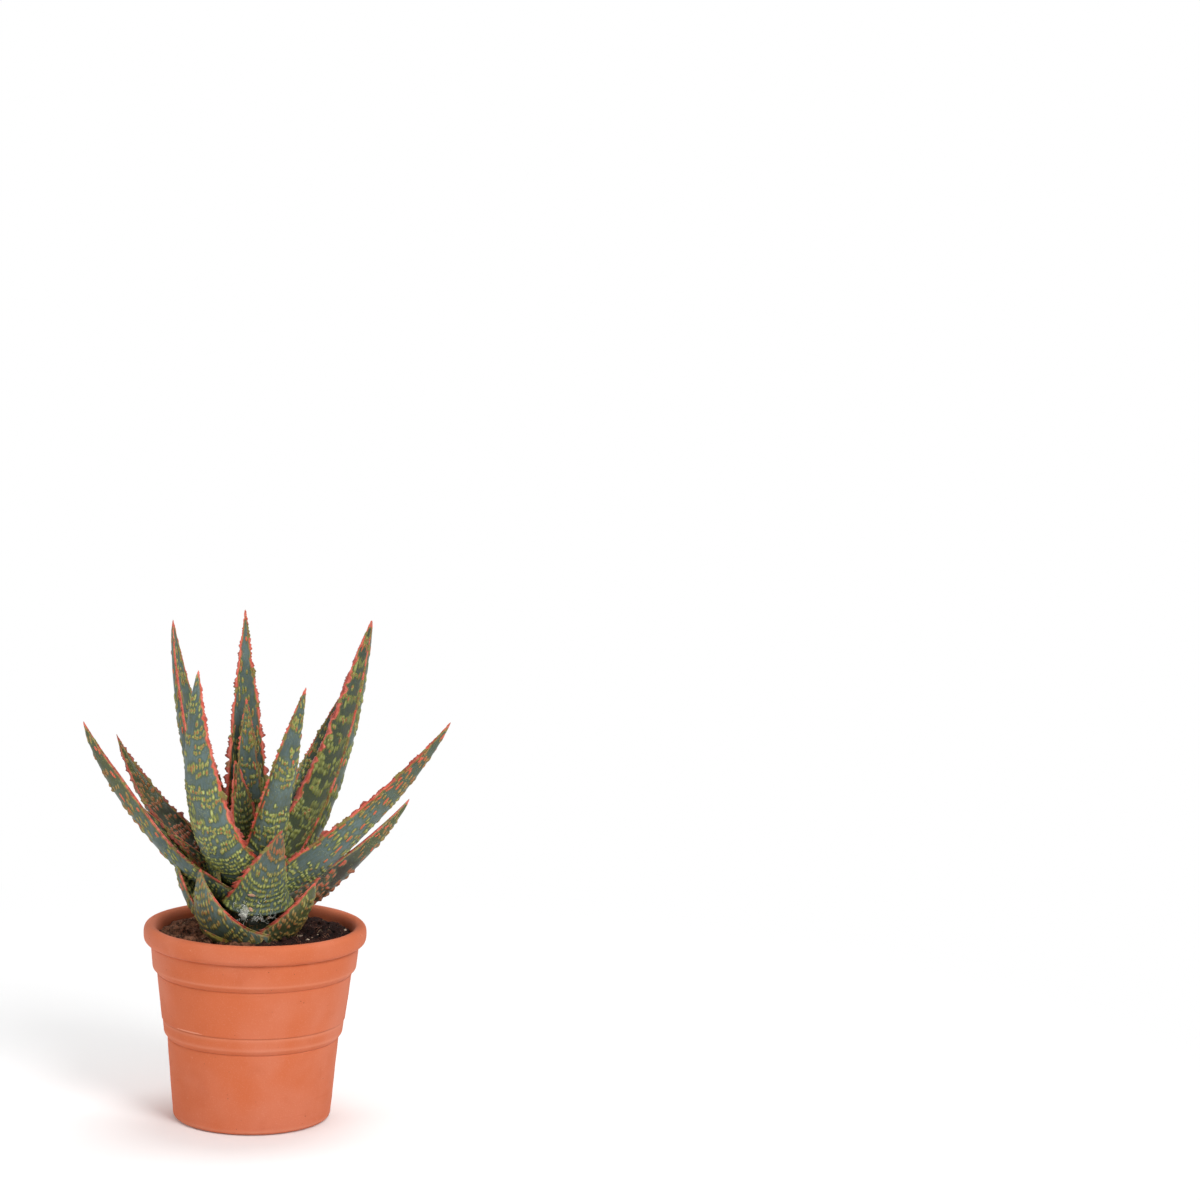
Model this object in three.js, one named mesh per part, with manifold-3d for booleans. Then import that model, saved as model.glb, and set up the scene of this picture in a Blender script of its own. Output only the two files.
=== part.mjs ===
// A potted zebra aloe: a terracotta pot with a rolled rim and two stepped bands, the soil in it, a short
// stem and a rosette of thick pointed leaves with toothed margins.
// Millimetres, +Z up. The origin is the middle of the pot's foot, +X is right and +Y is away from the viewer.
import * as THREE from 'three';
import { mergeVertices } from 'three/addons/utils/BufferGeometryUtils.js';
import Module from 'manifold-3d';

const wasm = await Module();
wasm.setup();

// Driving sizes
const GAP = 0.5; // clearance between pieces that lie against each other
const POT_SIDES = 40;

// The pot's outline, as radii and heights.
const POT = {
  footRadius: 44.8,
  footRound: 4.5,
  bodyFootRadius: 48.4,
  bandBottomRadius: 52.4,
  bandBottomHeight: 50.4,
  bandRadius: 54.6,
  bandLowHeight: 54.2,
  bandTopRadius: 55.3,
  bandTopHeight: 60.6,
  bodyLowRadius: 56.1,
  bodyLowHeight: 62.0,
  bodyTopRadius: 59.4,
  collarBottomHeight: 90.4,
  collarLowRadius: 62.2,
  collarLowHeight: 94.2,
  collarTopRadius: 63.5,
  collarTopHeight: 107.2,
  rimRadius: 68.0,
  rimRoundHeight: 114.5,
  height: 120.2,
  crestRadius: 64.0,
  mouthRadius: 60.0,
  mouthHeight: 115.0,
  innerCollarRadius: 57.2,
  innerCollarHeight: 92.0,
  innerBodyRadius: 51.6,
  innerBodyHeight: 58.0,
  floorRadius: 44.0,
  floorThickness: 6.0,
  drainHoles: 3,
  drainRadius: 4.5,
  drainRing: 21.0,
};

// The soil, filled to just under the mouth of the pot.
const SOIL = {
  top: 113.8,
  lumps: 1.2,
  rings: 4,
};

// The plant's axis stands a little left of the pot's. The stem is a blunt cone that the leaves grow from.
const STEM = {
  x: -3,
  y: 0,
  foot: 80,
  footRadius: 8,
  soilRadius: 15,
  soilHeight: 113,
  shoulderRadius: 12,
  shoulderHeight: 140,
  topRadius: 3.5,
  height: 164,
  sides: 18,
};

// The leaves, from the heart of the rosette outwards. azimuth is the way a leaf leans, in degrees from +X
// towards +Y. seat is the height where it leaves the stem, and reach how far from the axis it starts.
// lean holds its angles from upright at the foot, the middle and the tip, and size its length, width and
// thickness. turn swings it sideways along its length, and taper under 1 keeps its tip broad.
const LEAVES = {
  leaf_heart: { azimuth: 148, seat: 160, reach: 1, lean: [12, 12, 12], size: [61, 17, 4.5] },
  leaf_inner: { azimuth: 112, seat: 157, reach: 3, lean: [8, 5, 7], size: [101, 24, 5.5] },
  leaf_back_tall: { azimuth: 106, seat: 154, reach: 5, lean: [12, 7, 4], size: [158, 33, 7] },
  leaf_right_front: { azimuth: 310, seat: 152, reach: 3, lean: [20, 18, 22], size: [127, 31, 9] },
  leaf_left_front: { azimuth: 230, seat: 150, reach: 8, lean: [45, 15, -5], size: [143, 42, 10] },
  leaf_right_tall: { azimuth: 33, seat: 149, reach: 9, lean: [52, 12, 16], size: [175, 36, 14], taper: 0.74 },
  leaf_left_tall: { azimuth: 162, seat: 150, reach: 9, lean: [20, 20, 8], size: [161, 36, 8] },
  leaf_right_back: { azimuth: 57, seat: 149, reach: 14, lean: [41, 34, 31], size: [125, 27, 7], turn: -12 },
  leaf_back_mid: { azimuth: 98, seat: 146, reach: 14, lean: [46, 38, 30], size: [82, 28, 8] },
  leaf_right_long: { azimuth: 359, seat: 145, reach: 11, lean: [53, 50, 38], size: [147, 33, 13] },
  leaf_left_short_back: { azimuth: 164, seat: 146, reach: 12, lean: [49, 46, 27], size: [113, 29, 9] },
  leaf_left_long: { azimuth: 184, seat: 144, reach: 12, lean: [51, 47, 25], size: [135, 34, 12] },
  leaf_front_short: { azimuth: 286, seat: 138, reach: 14, lean: [28, 30, 28], size: [53, 37, 8], turn: 34 },
  leaf_back_right_low: { azimuth: 72, seat: 138, reach: 14, lean: [54, 46, 34], size: [72, 28, 8] },
  leaf_back_left_low: { azimuth: 130, seat: 137, reach: 14, lean: [60, 54, 46], size: [64, 28, 8] },
  leaf_right_low: { azimuth: 9, seat: 132, reach: 12, lean: [64, 53, 42], size: [107, 34, 12] },
  leaf_front_left_short: { azimuth: 228, seat: 119, reach: 14,
    lean: [68, 28, 4], size: [51, 47, 7], turn: -30, taper: 0.85 },
  leaf_front_right_short: { azimuth: 324, seat: 118, reach: 16,
    lean: [56, 44, 28], size: [46, 38, 7], taper: 0.75 },
  leaf_left_under: { azimuth: 180, seat: 124, reach: 17, lean: [56, 36, 10], size: [51, 24, 7] },
  leaf_back_under: { azimuth: 98, seat: 122, reach: 16, lean: [66, 48, 26], size: [66, 28, 7] },
  leaf_right_under: { azimuth: 40, seat: 122, reach: 16, lean: [68, 54, 34], size: [56, 24, 6] },
  leaf_foot_small: { azimuth: 240, seat: 115, reach: 25, lean: [72, 64, 56], size: [22, 10, 3] },
};

// What all leaves share. Spans are shares of a leaf's length, counted from its foot.
const FORM = {
  taper: 0.88,
  bow: 0.35, // how far the margins bow out towards the tip
  clasp: 0.25, // how much wider the foot is
  claspSpan: 0.2,
  hollow: 0.3, // depth of the inner face's hollow, as a share of half the width
  footHollow: 0.2, // how much deeper it is at the foot
  footHollowSpan: 0.3,
  hollowLoss: 0.4, // how much of it is gone at the tip
  footThickness: 0.55, // thickness at the foot, as a share of the full one
  footThicknessSpan: 0.22,
  tipThickness: 0.6, // power of the loss of thickness towards the tip
};

// Shares of a leaf's length where its body is sampled, and shares of half its width.
const BODY_STATIONS = [0, 0.06, 0.13, 0.21, 0.31, 0.42, 0.54, 0.66, 0.78, 0.88, 0.95];
const FACE_RAILS = [0.5, 0.86];
const BACK_RAILS = [0.9, 0.6];

const MARGIN_THICKNESS = 1.0;
const TOOTH_SPACING = 4.4;
const TOOTH_HEIGHT = 1.7;
const KEEL_RIDGE = 0.6; // height of the broken ridges along the keel
const KEEL_SPACING = 8;
const KEEL_BARE = 0.25; // the share of the length, from the foot, that has no ridge
const FINEST_EDGE = 0.02; // shorter steps than this are dropped after a cut

const radians = THREE.MathUtils.degToRad;

// A small seeded random source, so that every run gives the same teeth and lumps.
function seeded(seed) {
  let state = seed >>> 0;
  return () => {
    state = (state + 0x6d2b79f5) >>> 0;
    let t = Math.imul(state ^ (state >>> 15), state | 1);
    t ^= t + Math.imul(t ^ (t >>> 7), t | 61);
    return ((t ^ (t >>> 14)) >>> 0) / 4294967296;
  };
}

// A closed solid from a geometry whose shared vertices are merged and whose empty triangles are dropped.
function solidOf(geometry) {
  const bare = geometry.clone();
  bare.deleteAttribute('normal');
  bare.deleteAttribute('uv');
  const merged = mergeVertices(bare, 1e-4);
  const corners = merged.index.array;
  const kept = [];
  for (let i = 0; i < corners.length; i += 3) {
    const [a, b, c] = [corners[i], corners[i + 1], corners[i + 2]];
    if (a !== b && b !== c && c !== a) kept.push(a, b, c);
  }
  return new wasm.Manifold(new wasm.Mesh({
    numProp: 3,
    vertProperties: new Float32Array(merged.attributes.position.array),
    triVerts: new Uint32Array(kept),
  }));
}

// The largest body of a solid, which leaves out the scraps that a cut can make.
function largestBody(solid) {
  return solid.decompose().reduce((best, body) => (body.volume() > best.volume() ? body : best));
}

// A named mesh from a solid.
function meshOf(solid, name, material) {
  const { numProp, vertProperties, triVerts } = solid.getMesh();
  const count = vertProperties.length / numProp;
  const positions = new Float32Array(count * 3);
  for (let i = 0; i < count; i++) {
    positions.set(vertProperties.subarray(i * numProp, i * numProp + 3), i * 3);
  }
  const geometry = new THREE.BufferGeometry();
  geometry.setAttribute('position', new THREE.BufferAttribute(positions, 3));
  geometry.setIndex(new THREE.BufferAttribute(triVerts, 1));
  geometry.computeVertexNormals();
  const mesh = new THREE.Mesh(geometry, material);
  mesh.name = name;
  return mesh;
}

// A solid turned about +Z from a path of radii and heights that starts and ends on the axis.
function turned(path, sides, roundSteps) {
  const geometry = new THREE.LatheGeometry(path.getPoints(roundSteps), sides);
  geometry.rotateX(Math.PI / 2);
  return solidOf(geometry);
}

// The pot: a foot, a lower body, a band, an upper body, a collar and a rolled rim, hollow inside, with
// drain holes through its floor.
function makePot() {
  const p = POT;
  const path = new THREE.Path();
  path.moveTo(0, 0);
  path.lineTo(p.footRadius, 0);
  path.quadraticCurveTo(p.bodyFootRadius, 0, p.bodyFootRadius, p.footRound);
  path.lineTo(p.bandBottomRadius, p.bandBottomHeight);
  path.lineTo(p.bandRadius, p.bandLowHeight);
  path.lineTo(p.bandTopRadius, p.bandTopHeight);
  path.lineTo(p.bodyLowRadius, p.bodyLowHeight);
  path.lineTo(p.bodyTopRadius, p.collarBottomHeight);
  path.lineTo(p.collarLowRadius, p.collarLowHeight);
  path.lineTo(p.collarTopRadius, p.collarTopHeight);
  path.quadraticCurveTo(p.rimRadius, p.collarTopHeight + 2, p.rimRadius, p.rimRoundHeight);
  path.quadraticCurveTo(p.rimRadius, p.height, p.crestRadius, p.height);
  path.quadraticCurveTo(p.mouthRadius, p.height, p.mouthRadius, p.mouthHeight);
  path.lineTo(p.innerCollarRadius, p.innerCollarHeight);
  path.lineTo(p.innerBodyRadius, p.innerBodyHeight);
  path.lineTo(p.floorRadius, p.floorThickness);
  path.lineTo(0, p.floorThickness);
  let pot = turned(path, POT_SIDES, 4);
  for (let i = 0; i < p.drainHoles; i++) {
    const angle = (i / p.drainHoles) * 2 * Math.PI;
    const hole = new THREE.CylinderGeometry(p.drainRadius, p.drainRadius, 3 * p.floorThickness, 12);
    hole.rotateX(Math.PI / 2);
    hole.translate(p.drainRing * Math.cos(angle), p.drainRing * Math.sin(angle), 0);
    pot = pot.subtract(solidOf(hole));
  }
  return pot;
}

// Height of a lump of soil above its level, from a few waves that don't repeat over the pot.
function lump(x, y) {
  return SOIL.lumps * (Math.sin(0.31 * x + 1.3) * Math.cos(0.27 * y)
    + 0.6 * Math.sin(0.53 * y - 0.21 * x) + 0.4 * Math.cos(0.83 * x + 0.61 * y));
}

// The soil: a plug that fills the pot, with a lumpy top and a plain hole that the stem stands in.
function makeSoil() {
  const p = POT;
  const floor = p.floorThickness + GAP;
  const topRadius = p.innerCollarRadius + (p.mouthRadius - p.innerCollarRadius)
    * (SOIL.top - p.innerCollarHeight) / (p.mouthHeight - p.innerCollarHeight) - GAP;
  const holeRadius = STEM.soilRadius + GAP;
  const path = new THREE.Path();
  path.moveTo(0, floor);
  path.lineTo(p.floorRadius - GAP, floor);
  path.lineTo(p.innerBodyRadius - GAP, p.innerBodyHeight);
  path.lineTo(p.innerCollarRadius - GAP, p.innerCollarHeight);
  for (let i = 0; i <= SOIL.rings; i++) {
    path.lineTo(THREE.MathUtils.lerp(topRadius, holeRadius, i / SOIL.rings), SOIL.top);
  }
  path.lineTo(STEM.footRadius + GAP, STEM.foot - GAP);
  path.lineTo(0, STEM.foot - GAP);
  const geometry = new THREE.LatheGeometry(path.getPoints(1), POT_SIDES);
  geometry.rotateX(Math.PI / 2);
  geometry.rotateZ(Math.PI / POT_SIDES);
  const position = geometry.getAttribute('position');
  for (let i = 0; i < position.count; i++) {
    const [x, y, z] = [position.getX(i), position.getY(i), position.getZ(i)];
    const r = Math.hypot(x, y);
    const share = (topRadius - r) / (topRadius - holeRadius); // 0 at the wall, 1 at the stem
    if (z > SOIL.top - 0.1) position.setZ(i, z + lump(x, y) * Math.min(1, 0.3 + 2 * share) - 1.5 * share);
    if (r < holeRadius + 0.1 && z > STEM.foot - 1) position.setXY(i, x + STEM.x, y + STEM.y);
  }
  return solidOf(geometry);
}

// The stem, larger all round by grow.
function makeStem(grow = 0) {
  const s = STEM;
  const path = new THREE.Path();
  path.moveTo(0, s.foot - grow);
  path.lineTo(s.footRadius + grow, s.foot - grow);
  path.lineTo(s.soilRadius + grow, s.soilHeight);
  path.lineTo(s.shoulderRadius + grow, s.shoulderHeight);
  path.lineTo(s.topRadius + grow, s.height + grow);
  path.lineTo(0, s.height + grow);
  return turned(path, s.sides, 1).translate([s.x, s.y, 0]);
}

// The centre line of a leaf: a function that gives, at a share u of its length, the point there, the
// direction along the leaf, the direction across it and the direction its inner face looks.
function spineOf(leaf) {
  const steps = 60;
  const [foot, middle, tip] = leaf.lean.map(radians);
  const heading = radians(leaf.azimuth);
  const point = new THREE.Vector3(
    STEM.x + leaf.reach * Math.cos(heading), STEM.y + leaf.reach * Math.sin(heading), leaf.seat);
  const stations = [];
  for (let i = 0; i <= steps; i++) {
    const u = i / steps;
    const lean = (1 - u) ** 2 * foot + 2 * u * (1 - u) * middle + u ** 2 * tip;
    const swing = heading + radians(leaf.turn) * u;
    const along = new THREE.Vector3(
      Math.sin(lean) * Math.cos(swing), Math.sin(lean) * Math.sin(swing), Math.cos(lean));
    const across = new THREE.Vector3(-Math.sin(swing), Math.cos(swing), 0);
    const inner = new THREE.Vector3().crossVectors(along, across);
    stations.push({ point: point.clone(), along, across, inner });
    point.addScaledVector(along, leaf.length / steps);
  }
  return (u) => {
    const place = Math.min(u * steps, steps - 1e-9);
    const [a, b] = [stations[Math.floor(place)], stations[Math.floor(place) + 1]];
    const mix = (key) => a[key].clone().lerp(b[key], place % 1);
    return { point: mix('point'), along: mix('along'), across: mix('across'), inner: mix('inner') };
  };
}

// Falls from 1 at the foot to 0 at the end of a span.
const footShare = (u, span) => Math.max(0, 1 - u / span) ** 2;

// Half a leaf's width: a wide clasping foot, then an almost straight taper to a sharp tip.
function halfWidth(leaf, u) {
  const clasp = 1 + FORM.clasp * footShare(u, FORM.claspSpan);
  return (leaf.width / 2) * clasp * (1 - u) ** leaf.taper * (1 + FORM.bow * u);
}

// How far the inner face is hollowed below the margins.
function channel(leaf, u) {
  const share = FORM.hollow + FORM.footHollow * footShare(u, FORM.footHollowSpan);
  return halfWidth(leaf, u) * share * (1 - FORM.hollowLoss * u);
}

// How thick the leaf is at its middle.
function thickness(leaf, u) {
  const rise = THREE.MathUtils.lerp(FORM.footThickness, 1, Math.min(1, u / FORM.footThicknessSpan));
  return leaf.thick * (1 - u) ** FORM.tipThickness * rise;
}

// The tallest a tooth stands at a share u: almost none at the clasping foot and small at the tip.
function toothReach(u) {
  return TOOTH_HEIGHT * Math.min(1, 6 * u + 0.15) * Math.min(1, 0.2 + 1.6 * (1 - u));
}

// The body of a leaf as rails that run from its foot to its tip, joined round by triangles.
// grow makes it larger all round and bare of teeth, for cutting its neighbours clear.
function makeLeaf(leaf, seed, grow = 0) {
  const random = seeded(seed);
  const spine = spineOf(leaf);
  const vertices = [];
  const triangles = [];
  const toothed = grow === 0;

  // A vertex at share u, across from the middle line and above the margins' line, as a rail's entry.
  const place = (u, across, above, ahead = 0) => {
    const s = spine(u);
    const p = s.point.addScaledVector(s.across, across).addScaledVector(s.inner, above)
      .addScaledVector(s.along, ahead);
    vertices.push(p.x, p.y, p.z);
    return { u, id: vertices.length / 3 - 1 };
  };
  const tip = place(1, 0, 0, grow);
  const endAtTip = (rail) => [...rail, { u: 1, id: tip.id }];

  // A rail with the body's own stations; side is the share of the half width, height a function of u.
  const bodyRail = (side, height) => endAtTip(BODY_STATIONS.map((u) => (
    place(u, side * (halfWidth(leaf, u) + grow), height(u), u === 0 ? -grow : 0))));
  const top = (share) => (u) => -channel(leaf, u) * share + grow;
  const bottom = (share) => (u) => -(channel(leaf, u) + thickness(leaf, u)) * share - grow;

  // The keel, with low broken ridges along the outer two thirds.
  const keelRail = () => {
    const rail = [];
    const bumps = Math.max(8, Math.round(leaf.length / KEEL_SPACING));
    for (let i = 0; i < bumps; i++) {
      const u = i / bumps;
      const share = toothed ? (u > KEEL_BARE && i % 2) * (0.4 + 0.6 * random()) : 1;
      const ridge = KEEL_RIDGE * share * Math.min(1, 3 * (1 - u));
      rail.push(place(u, 0, bottom(1)(u) - ridge, u === 0 ? -grow : 0));
    }
    return endAtTip(rail);
  };

  // The two rails of one margin, from the inner face to the back. Between each pair of hollows stands a
  // tooth, whose point both rails share. A bare margin's second rail runs past the points of the teeth.
  const marginRails = (side) => {
    const half = MARGIN_THICKNESS / 2 + grow;
    if (!toothed) {
      const rail = (reach, height) => endAtTip(BODY_STATIONS.map((u) => (
        place(u, side * (halfWidth(leaf, u) + reach(u) + grow), height, u === 0 ? -grow : 0))));
      return [rail(() => 0, half), rail((u) => toothReach(u) + grow, 0)];
    }
    const teeth = Math.max(6, Math.round(leaf.length / TOOTH_SPACING));
    const upper = [];
    const lower = [];
    for (let i = 0; i < teeth; i++) {
      const [start, end] = [i / teeth, (i + 1) / teeth];
      const thin = half * Math.min(1, 0.25 + 3 * (1 - start));
      upper.push(place(start, side * halfWidth(leaf, start), thin));
      lower.push(place(start, side * halfWidth(leaf, start), -thin));
      const u = THREE.MathUtils.lerp(start, end, 0.45 + 0.35 * random());
      const reach = halfWidth(leaf, u) + toothReach(u) * (0.45 + 0.55 * random());
      const point = place(u, side * reach, 0);
      upper.push(point);
      lower.push(point);
    }
    return [endAtTip(upper), endAtTip(lower)];
  };

  // Rails at three shares of the half width, at heights that follow a hollowed face and a rounded back.
  const faceRail = (side) => bodyRail(side, top(1 - side ** 2));
  const backRail = (side) => bodyRail(side, bottom(Math.sqrt(1 - side ** 2)));
  const mirrored = (shares) => shares.map((share) => -share).reverse();
  const keel = keelRail();
  const rails = [
    faceRail(0), ...FACE_RAILS.map(faceRail), ...marginRails(1), ...BACK_RAILS.map(backRail),
    keel, ...mirrored(BACK_RAILS).map(backRail), ...marginRails(-1).reverse(),
    ...mirrored(FACE_RAILS).map(faceRail),
  ];

  const addTriangle = (a, b, c) => {
    if (a !== b && b !== c && c !== a) triangles.push(a, b, c);
  };
  // Fills between two neighbouring rails, always stepping along the one whose next point comes first.
  const stitch = (a, b) => {
    let [i, j] = [0, 0];
    while (i < a.length - 1 || j < b.length - 1) {
      if (j === b.length - 1 || (i < a.length - 1 && a[i + 1].u <= b[j + 1].u)) {
        addTriangle(a[i].id, a[i + 1].id, b[j].id);
        i += 1;
      } else {
        addTriangle(a[i].id, b[j + 1].id, b[j].id);
        j += 1;
      }
    }
  };
  rails.forEach((rail, i) => stitch(rail, rails[(i + 1) % rails.length]));
  rails.forEach((rail, i) => addTriangle(keel[0].id, rail[0].id, rails[(i + 1) % rails.length][0].id));
  return new wasm.Manifold(new wasm.Mesh({
    numProp: 3,
    vertProperties: new Float32Array(vertices),
    triVerts: new Uint32Array(triangles),
  }));
}

const COLOURS = { clay: 0xd9713f, earth: 0x2b1a14, pith: 0x6f7d4a, leafSkin: 0x4a5f58 };

// A plain matt finish of one colour.
const finish = (colour, roughness) => (
  new THREE.MeshStandardMaterial({ color: COLOURS[colour], roughness, metalness: 0 }));

const group = new THREE.Group();
group.add(meshOf(makePot(), 'pot', finish('clay', 0.75)));
group.add(meshOf(makeStem(), 'stem', finish('pith', 0.7)));

// Each leaf gives way to the stem and to the leaves inside it, which its foot wraps round.
const stemClear = makeStem(GAP);
const clearances = [];
Object.entries(LEAVES).forEach(([name, row], i) => {
  const [length, width, thick] = row.size;
  const leaf = { turn: 0, taper: FORM.taper, length, width, thick, ...row };
  const seed = 100 + i;
  const cut = clearances.reduce(
    (solid, inner) => solid.subtract(inner), makeLeaf(leaf, seed).subtract(stemClear));
  clearances.push(makeLeaf(leaf, seed, GAP));
  group.add(meshOf(largestBody(cut).simplify(FINEST_EDGE), name, finish('leafSkin', 0.5)));
});

const soil = clearances.reduce((solid, leaf) => solid.subtract(leaf), makeSoil());
group.add(meshOf(largestBody(soil).simplify(FINEST_EDGE), 'soil', finish('earth', 0.95)));

export default group;
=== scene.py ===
"""The finished look of a potted zebra aloe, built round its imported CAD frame.

Every leaf is a surface on a grid of shares along and round it, with raised spots, toothed coral margins
and streaks worked out as fields in millimetres. The pot is turned smooth, the soil is a lumpy bed with
crumbs and fibres, and shreds of dry skin lie at the foot of the rosette.
"""
import logging
import math
from dataclasses import dataclass, field
from enum import Enum, IntEnum
from itertools import product
from typing import Callable, Sequence

import bpy
import numpy as np
from mathutils import Matrix


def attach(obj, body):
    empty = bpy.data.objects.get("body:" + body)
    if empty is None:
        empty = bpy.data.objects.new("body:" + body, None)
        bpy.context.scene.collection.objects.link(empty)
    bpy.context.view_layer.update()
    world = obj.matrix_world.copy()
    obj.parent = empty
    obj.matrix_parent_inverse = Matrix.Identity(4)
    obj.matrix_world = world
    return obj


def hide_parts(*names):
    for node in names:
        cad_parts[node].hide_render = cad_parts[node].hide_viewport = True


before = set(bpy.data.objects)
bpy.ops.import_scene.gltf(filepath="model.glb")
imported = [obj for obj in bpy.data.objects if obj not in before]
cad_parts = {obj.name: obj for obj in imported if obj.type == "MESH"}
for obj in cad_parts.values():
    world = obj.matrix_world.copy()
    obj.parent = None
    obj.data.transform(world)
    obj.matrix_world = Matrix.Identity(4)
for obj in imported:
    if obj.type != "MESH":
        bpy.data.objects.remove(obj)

LOG = logging.getLogger("zebra_aloe")
MM = 0.001
UP = np.array([0.0, 0.0, 1.0])
Array = np.ndarray
Grid = tuple[Array, Array, Array]
Pair = tuple[float, float]
Triple = tuple[float, float, float]
Colour = Triple
Socket, Material = bpy.types.NodeSocket, bpy.types.Material
Mesh, Piece = bpy.types.Mesh, bpy.types.Object


def paint(red: float, green: float, blue: float) -> Colour:
    """Turns a colour as seen on a screen, 0 to 255, into linear light.

    Args:
        red: Red on the screen.
        green: Green on the screen.
        blue: Blue on the screen.

    Returns:
        The three linear values.
    """
    return tuple(((v / 255 + 0.055) / 1.055) ** 2.4 for v in (red, green, blue))


def lerp(start: float, end: float, share: Array | float) -> Array | float:
    """Goes from start to end as share goes from 0 to 1."""
    return start + (end - start) * share


def smoothstep(low: float, high: float, x: Array | float) -> Array:
    """Rises from 0 at low to 1 at high along the curve 3t^2 - 2t^3."""
    t = np.clip((np.asarray(x, float) - low) / (high - low), 0, 1)
    return t * t * (3 - 2 * t)


def hashed(seed: int, *keys: Array) -> Array:
    """Gives a fixed random number for each set of whole-number keys.

    Args:
        seed: Number of the random source.
        keys: Arrays of whole numbers that broadcast together.

    Returns:
        Numbers from 0 up to 1.
    """
    mask = np.uint64(0xFFFFFFFF)
    state = np.uint64(seed * 2654435761 % 4294967296)
    for key in keys:
        state = (state ^ (np.asarray(key, np.int64).astype(np.uint64) & mask)) * np.uint64(668265263) & mask
        state = state ^ (state >> np.uint64(15))
        state = state * np.uint64(2246822519) & mask
        state = state ^ (state >> np.uint64(13))
    return state.astype(float) / 4294967296.0


def noise(x: Array, y: Array, size: float, seed: int) -> Array:
    """Smooth noise: hashed values at whole steps, blended across each square by smooth steps.

    Args:
        x: First coordinate, in millimetres.
        y: Second coordinate, in millimetres.
        size: Side of a square, in millimetres.
        seed: Number of the random source.

    Returns:
        Values from -1 to 1.
    """
    x, y = np.asarray(x, float) / size, np.asarray(y, float) / size
    i, j = np.floor(x).astype(np.int64), np.floor(y).astype(np.int64)
    s, t = smoothstep(0, 1, x - i), smoothstep(0, 1, y - j)
    low = lerp(hashed(seed, i, j), hashed(seed, i + 1, j), s)
    high = lerp(hashed(seed, i, j + 1), hashed(seed, i + 1, j + 1), s)
    return 2 * lerp(low, high, t) - 1


# Shader expressions


def maths(operation: str, swapped: bool = False) -> Callable[["Value", "Value | float"], "Value"]:
    """Makes a method of Value that adds one Math node.

    Args:
        operation: What the node works out.
        swapped: True where the other number comes first, as in 1 - mask.

    Returns:
        The method.
    """
    def method(self: "Value", other: "Value | float") -> "Value":
        """Adds the node and gives its result."""
        pair = (other, self) if swapped else (self, other)
        return self.shader.out("ShaderNodeMath", {"operation": operation}, dict(enumerate(pair)))
    return method


class Value:
    """A number in a shader. An expression on it adds the Math nodes that it needs."""

    __add__ = __radd__ = maths("ADD")
    __sub__ = maths("SUBTRACT")
    __rsub__ = maths("SUBTRACT", swapped=True)
    __mul__ = __rmul__ = maths("MULTIPLY")
    least = maths("MINIMUM")
    most = maths("MAXIMUM")

    def __init__(self, shader: "Shader", socket: Socket) -> None:
        """Wraps an output socket of a shader."""
        self.shader = shader
        self.socket = socket

    def step(self, low: "Value | float", high: "Value | float") -> "Value":
        """Rises smoothly from 0 at low to 1 at high, or falls where low is the larger."""
        return self.shader.out("ShaderNodeMapRange", {"interpolation_type": "SMOOTHSTEP"},
                               {0: self, 1: low, 2: high, 3: 0.0, 4: 1.0})


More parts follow.
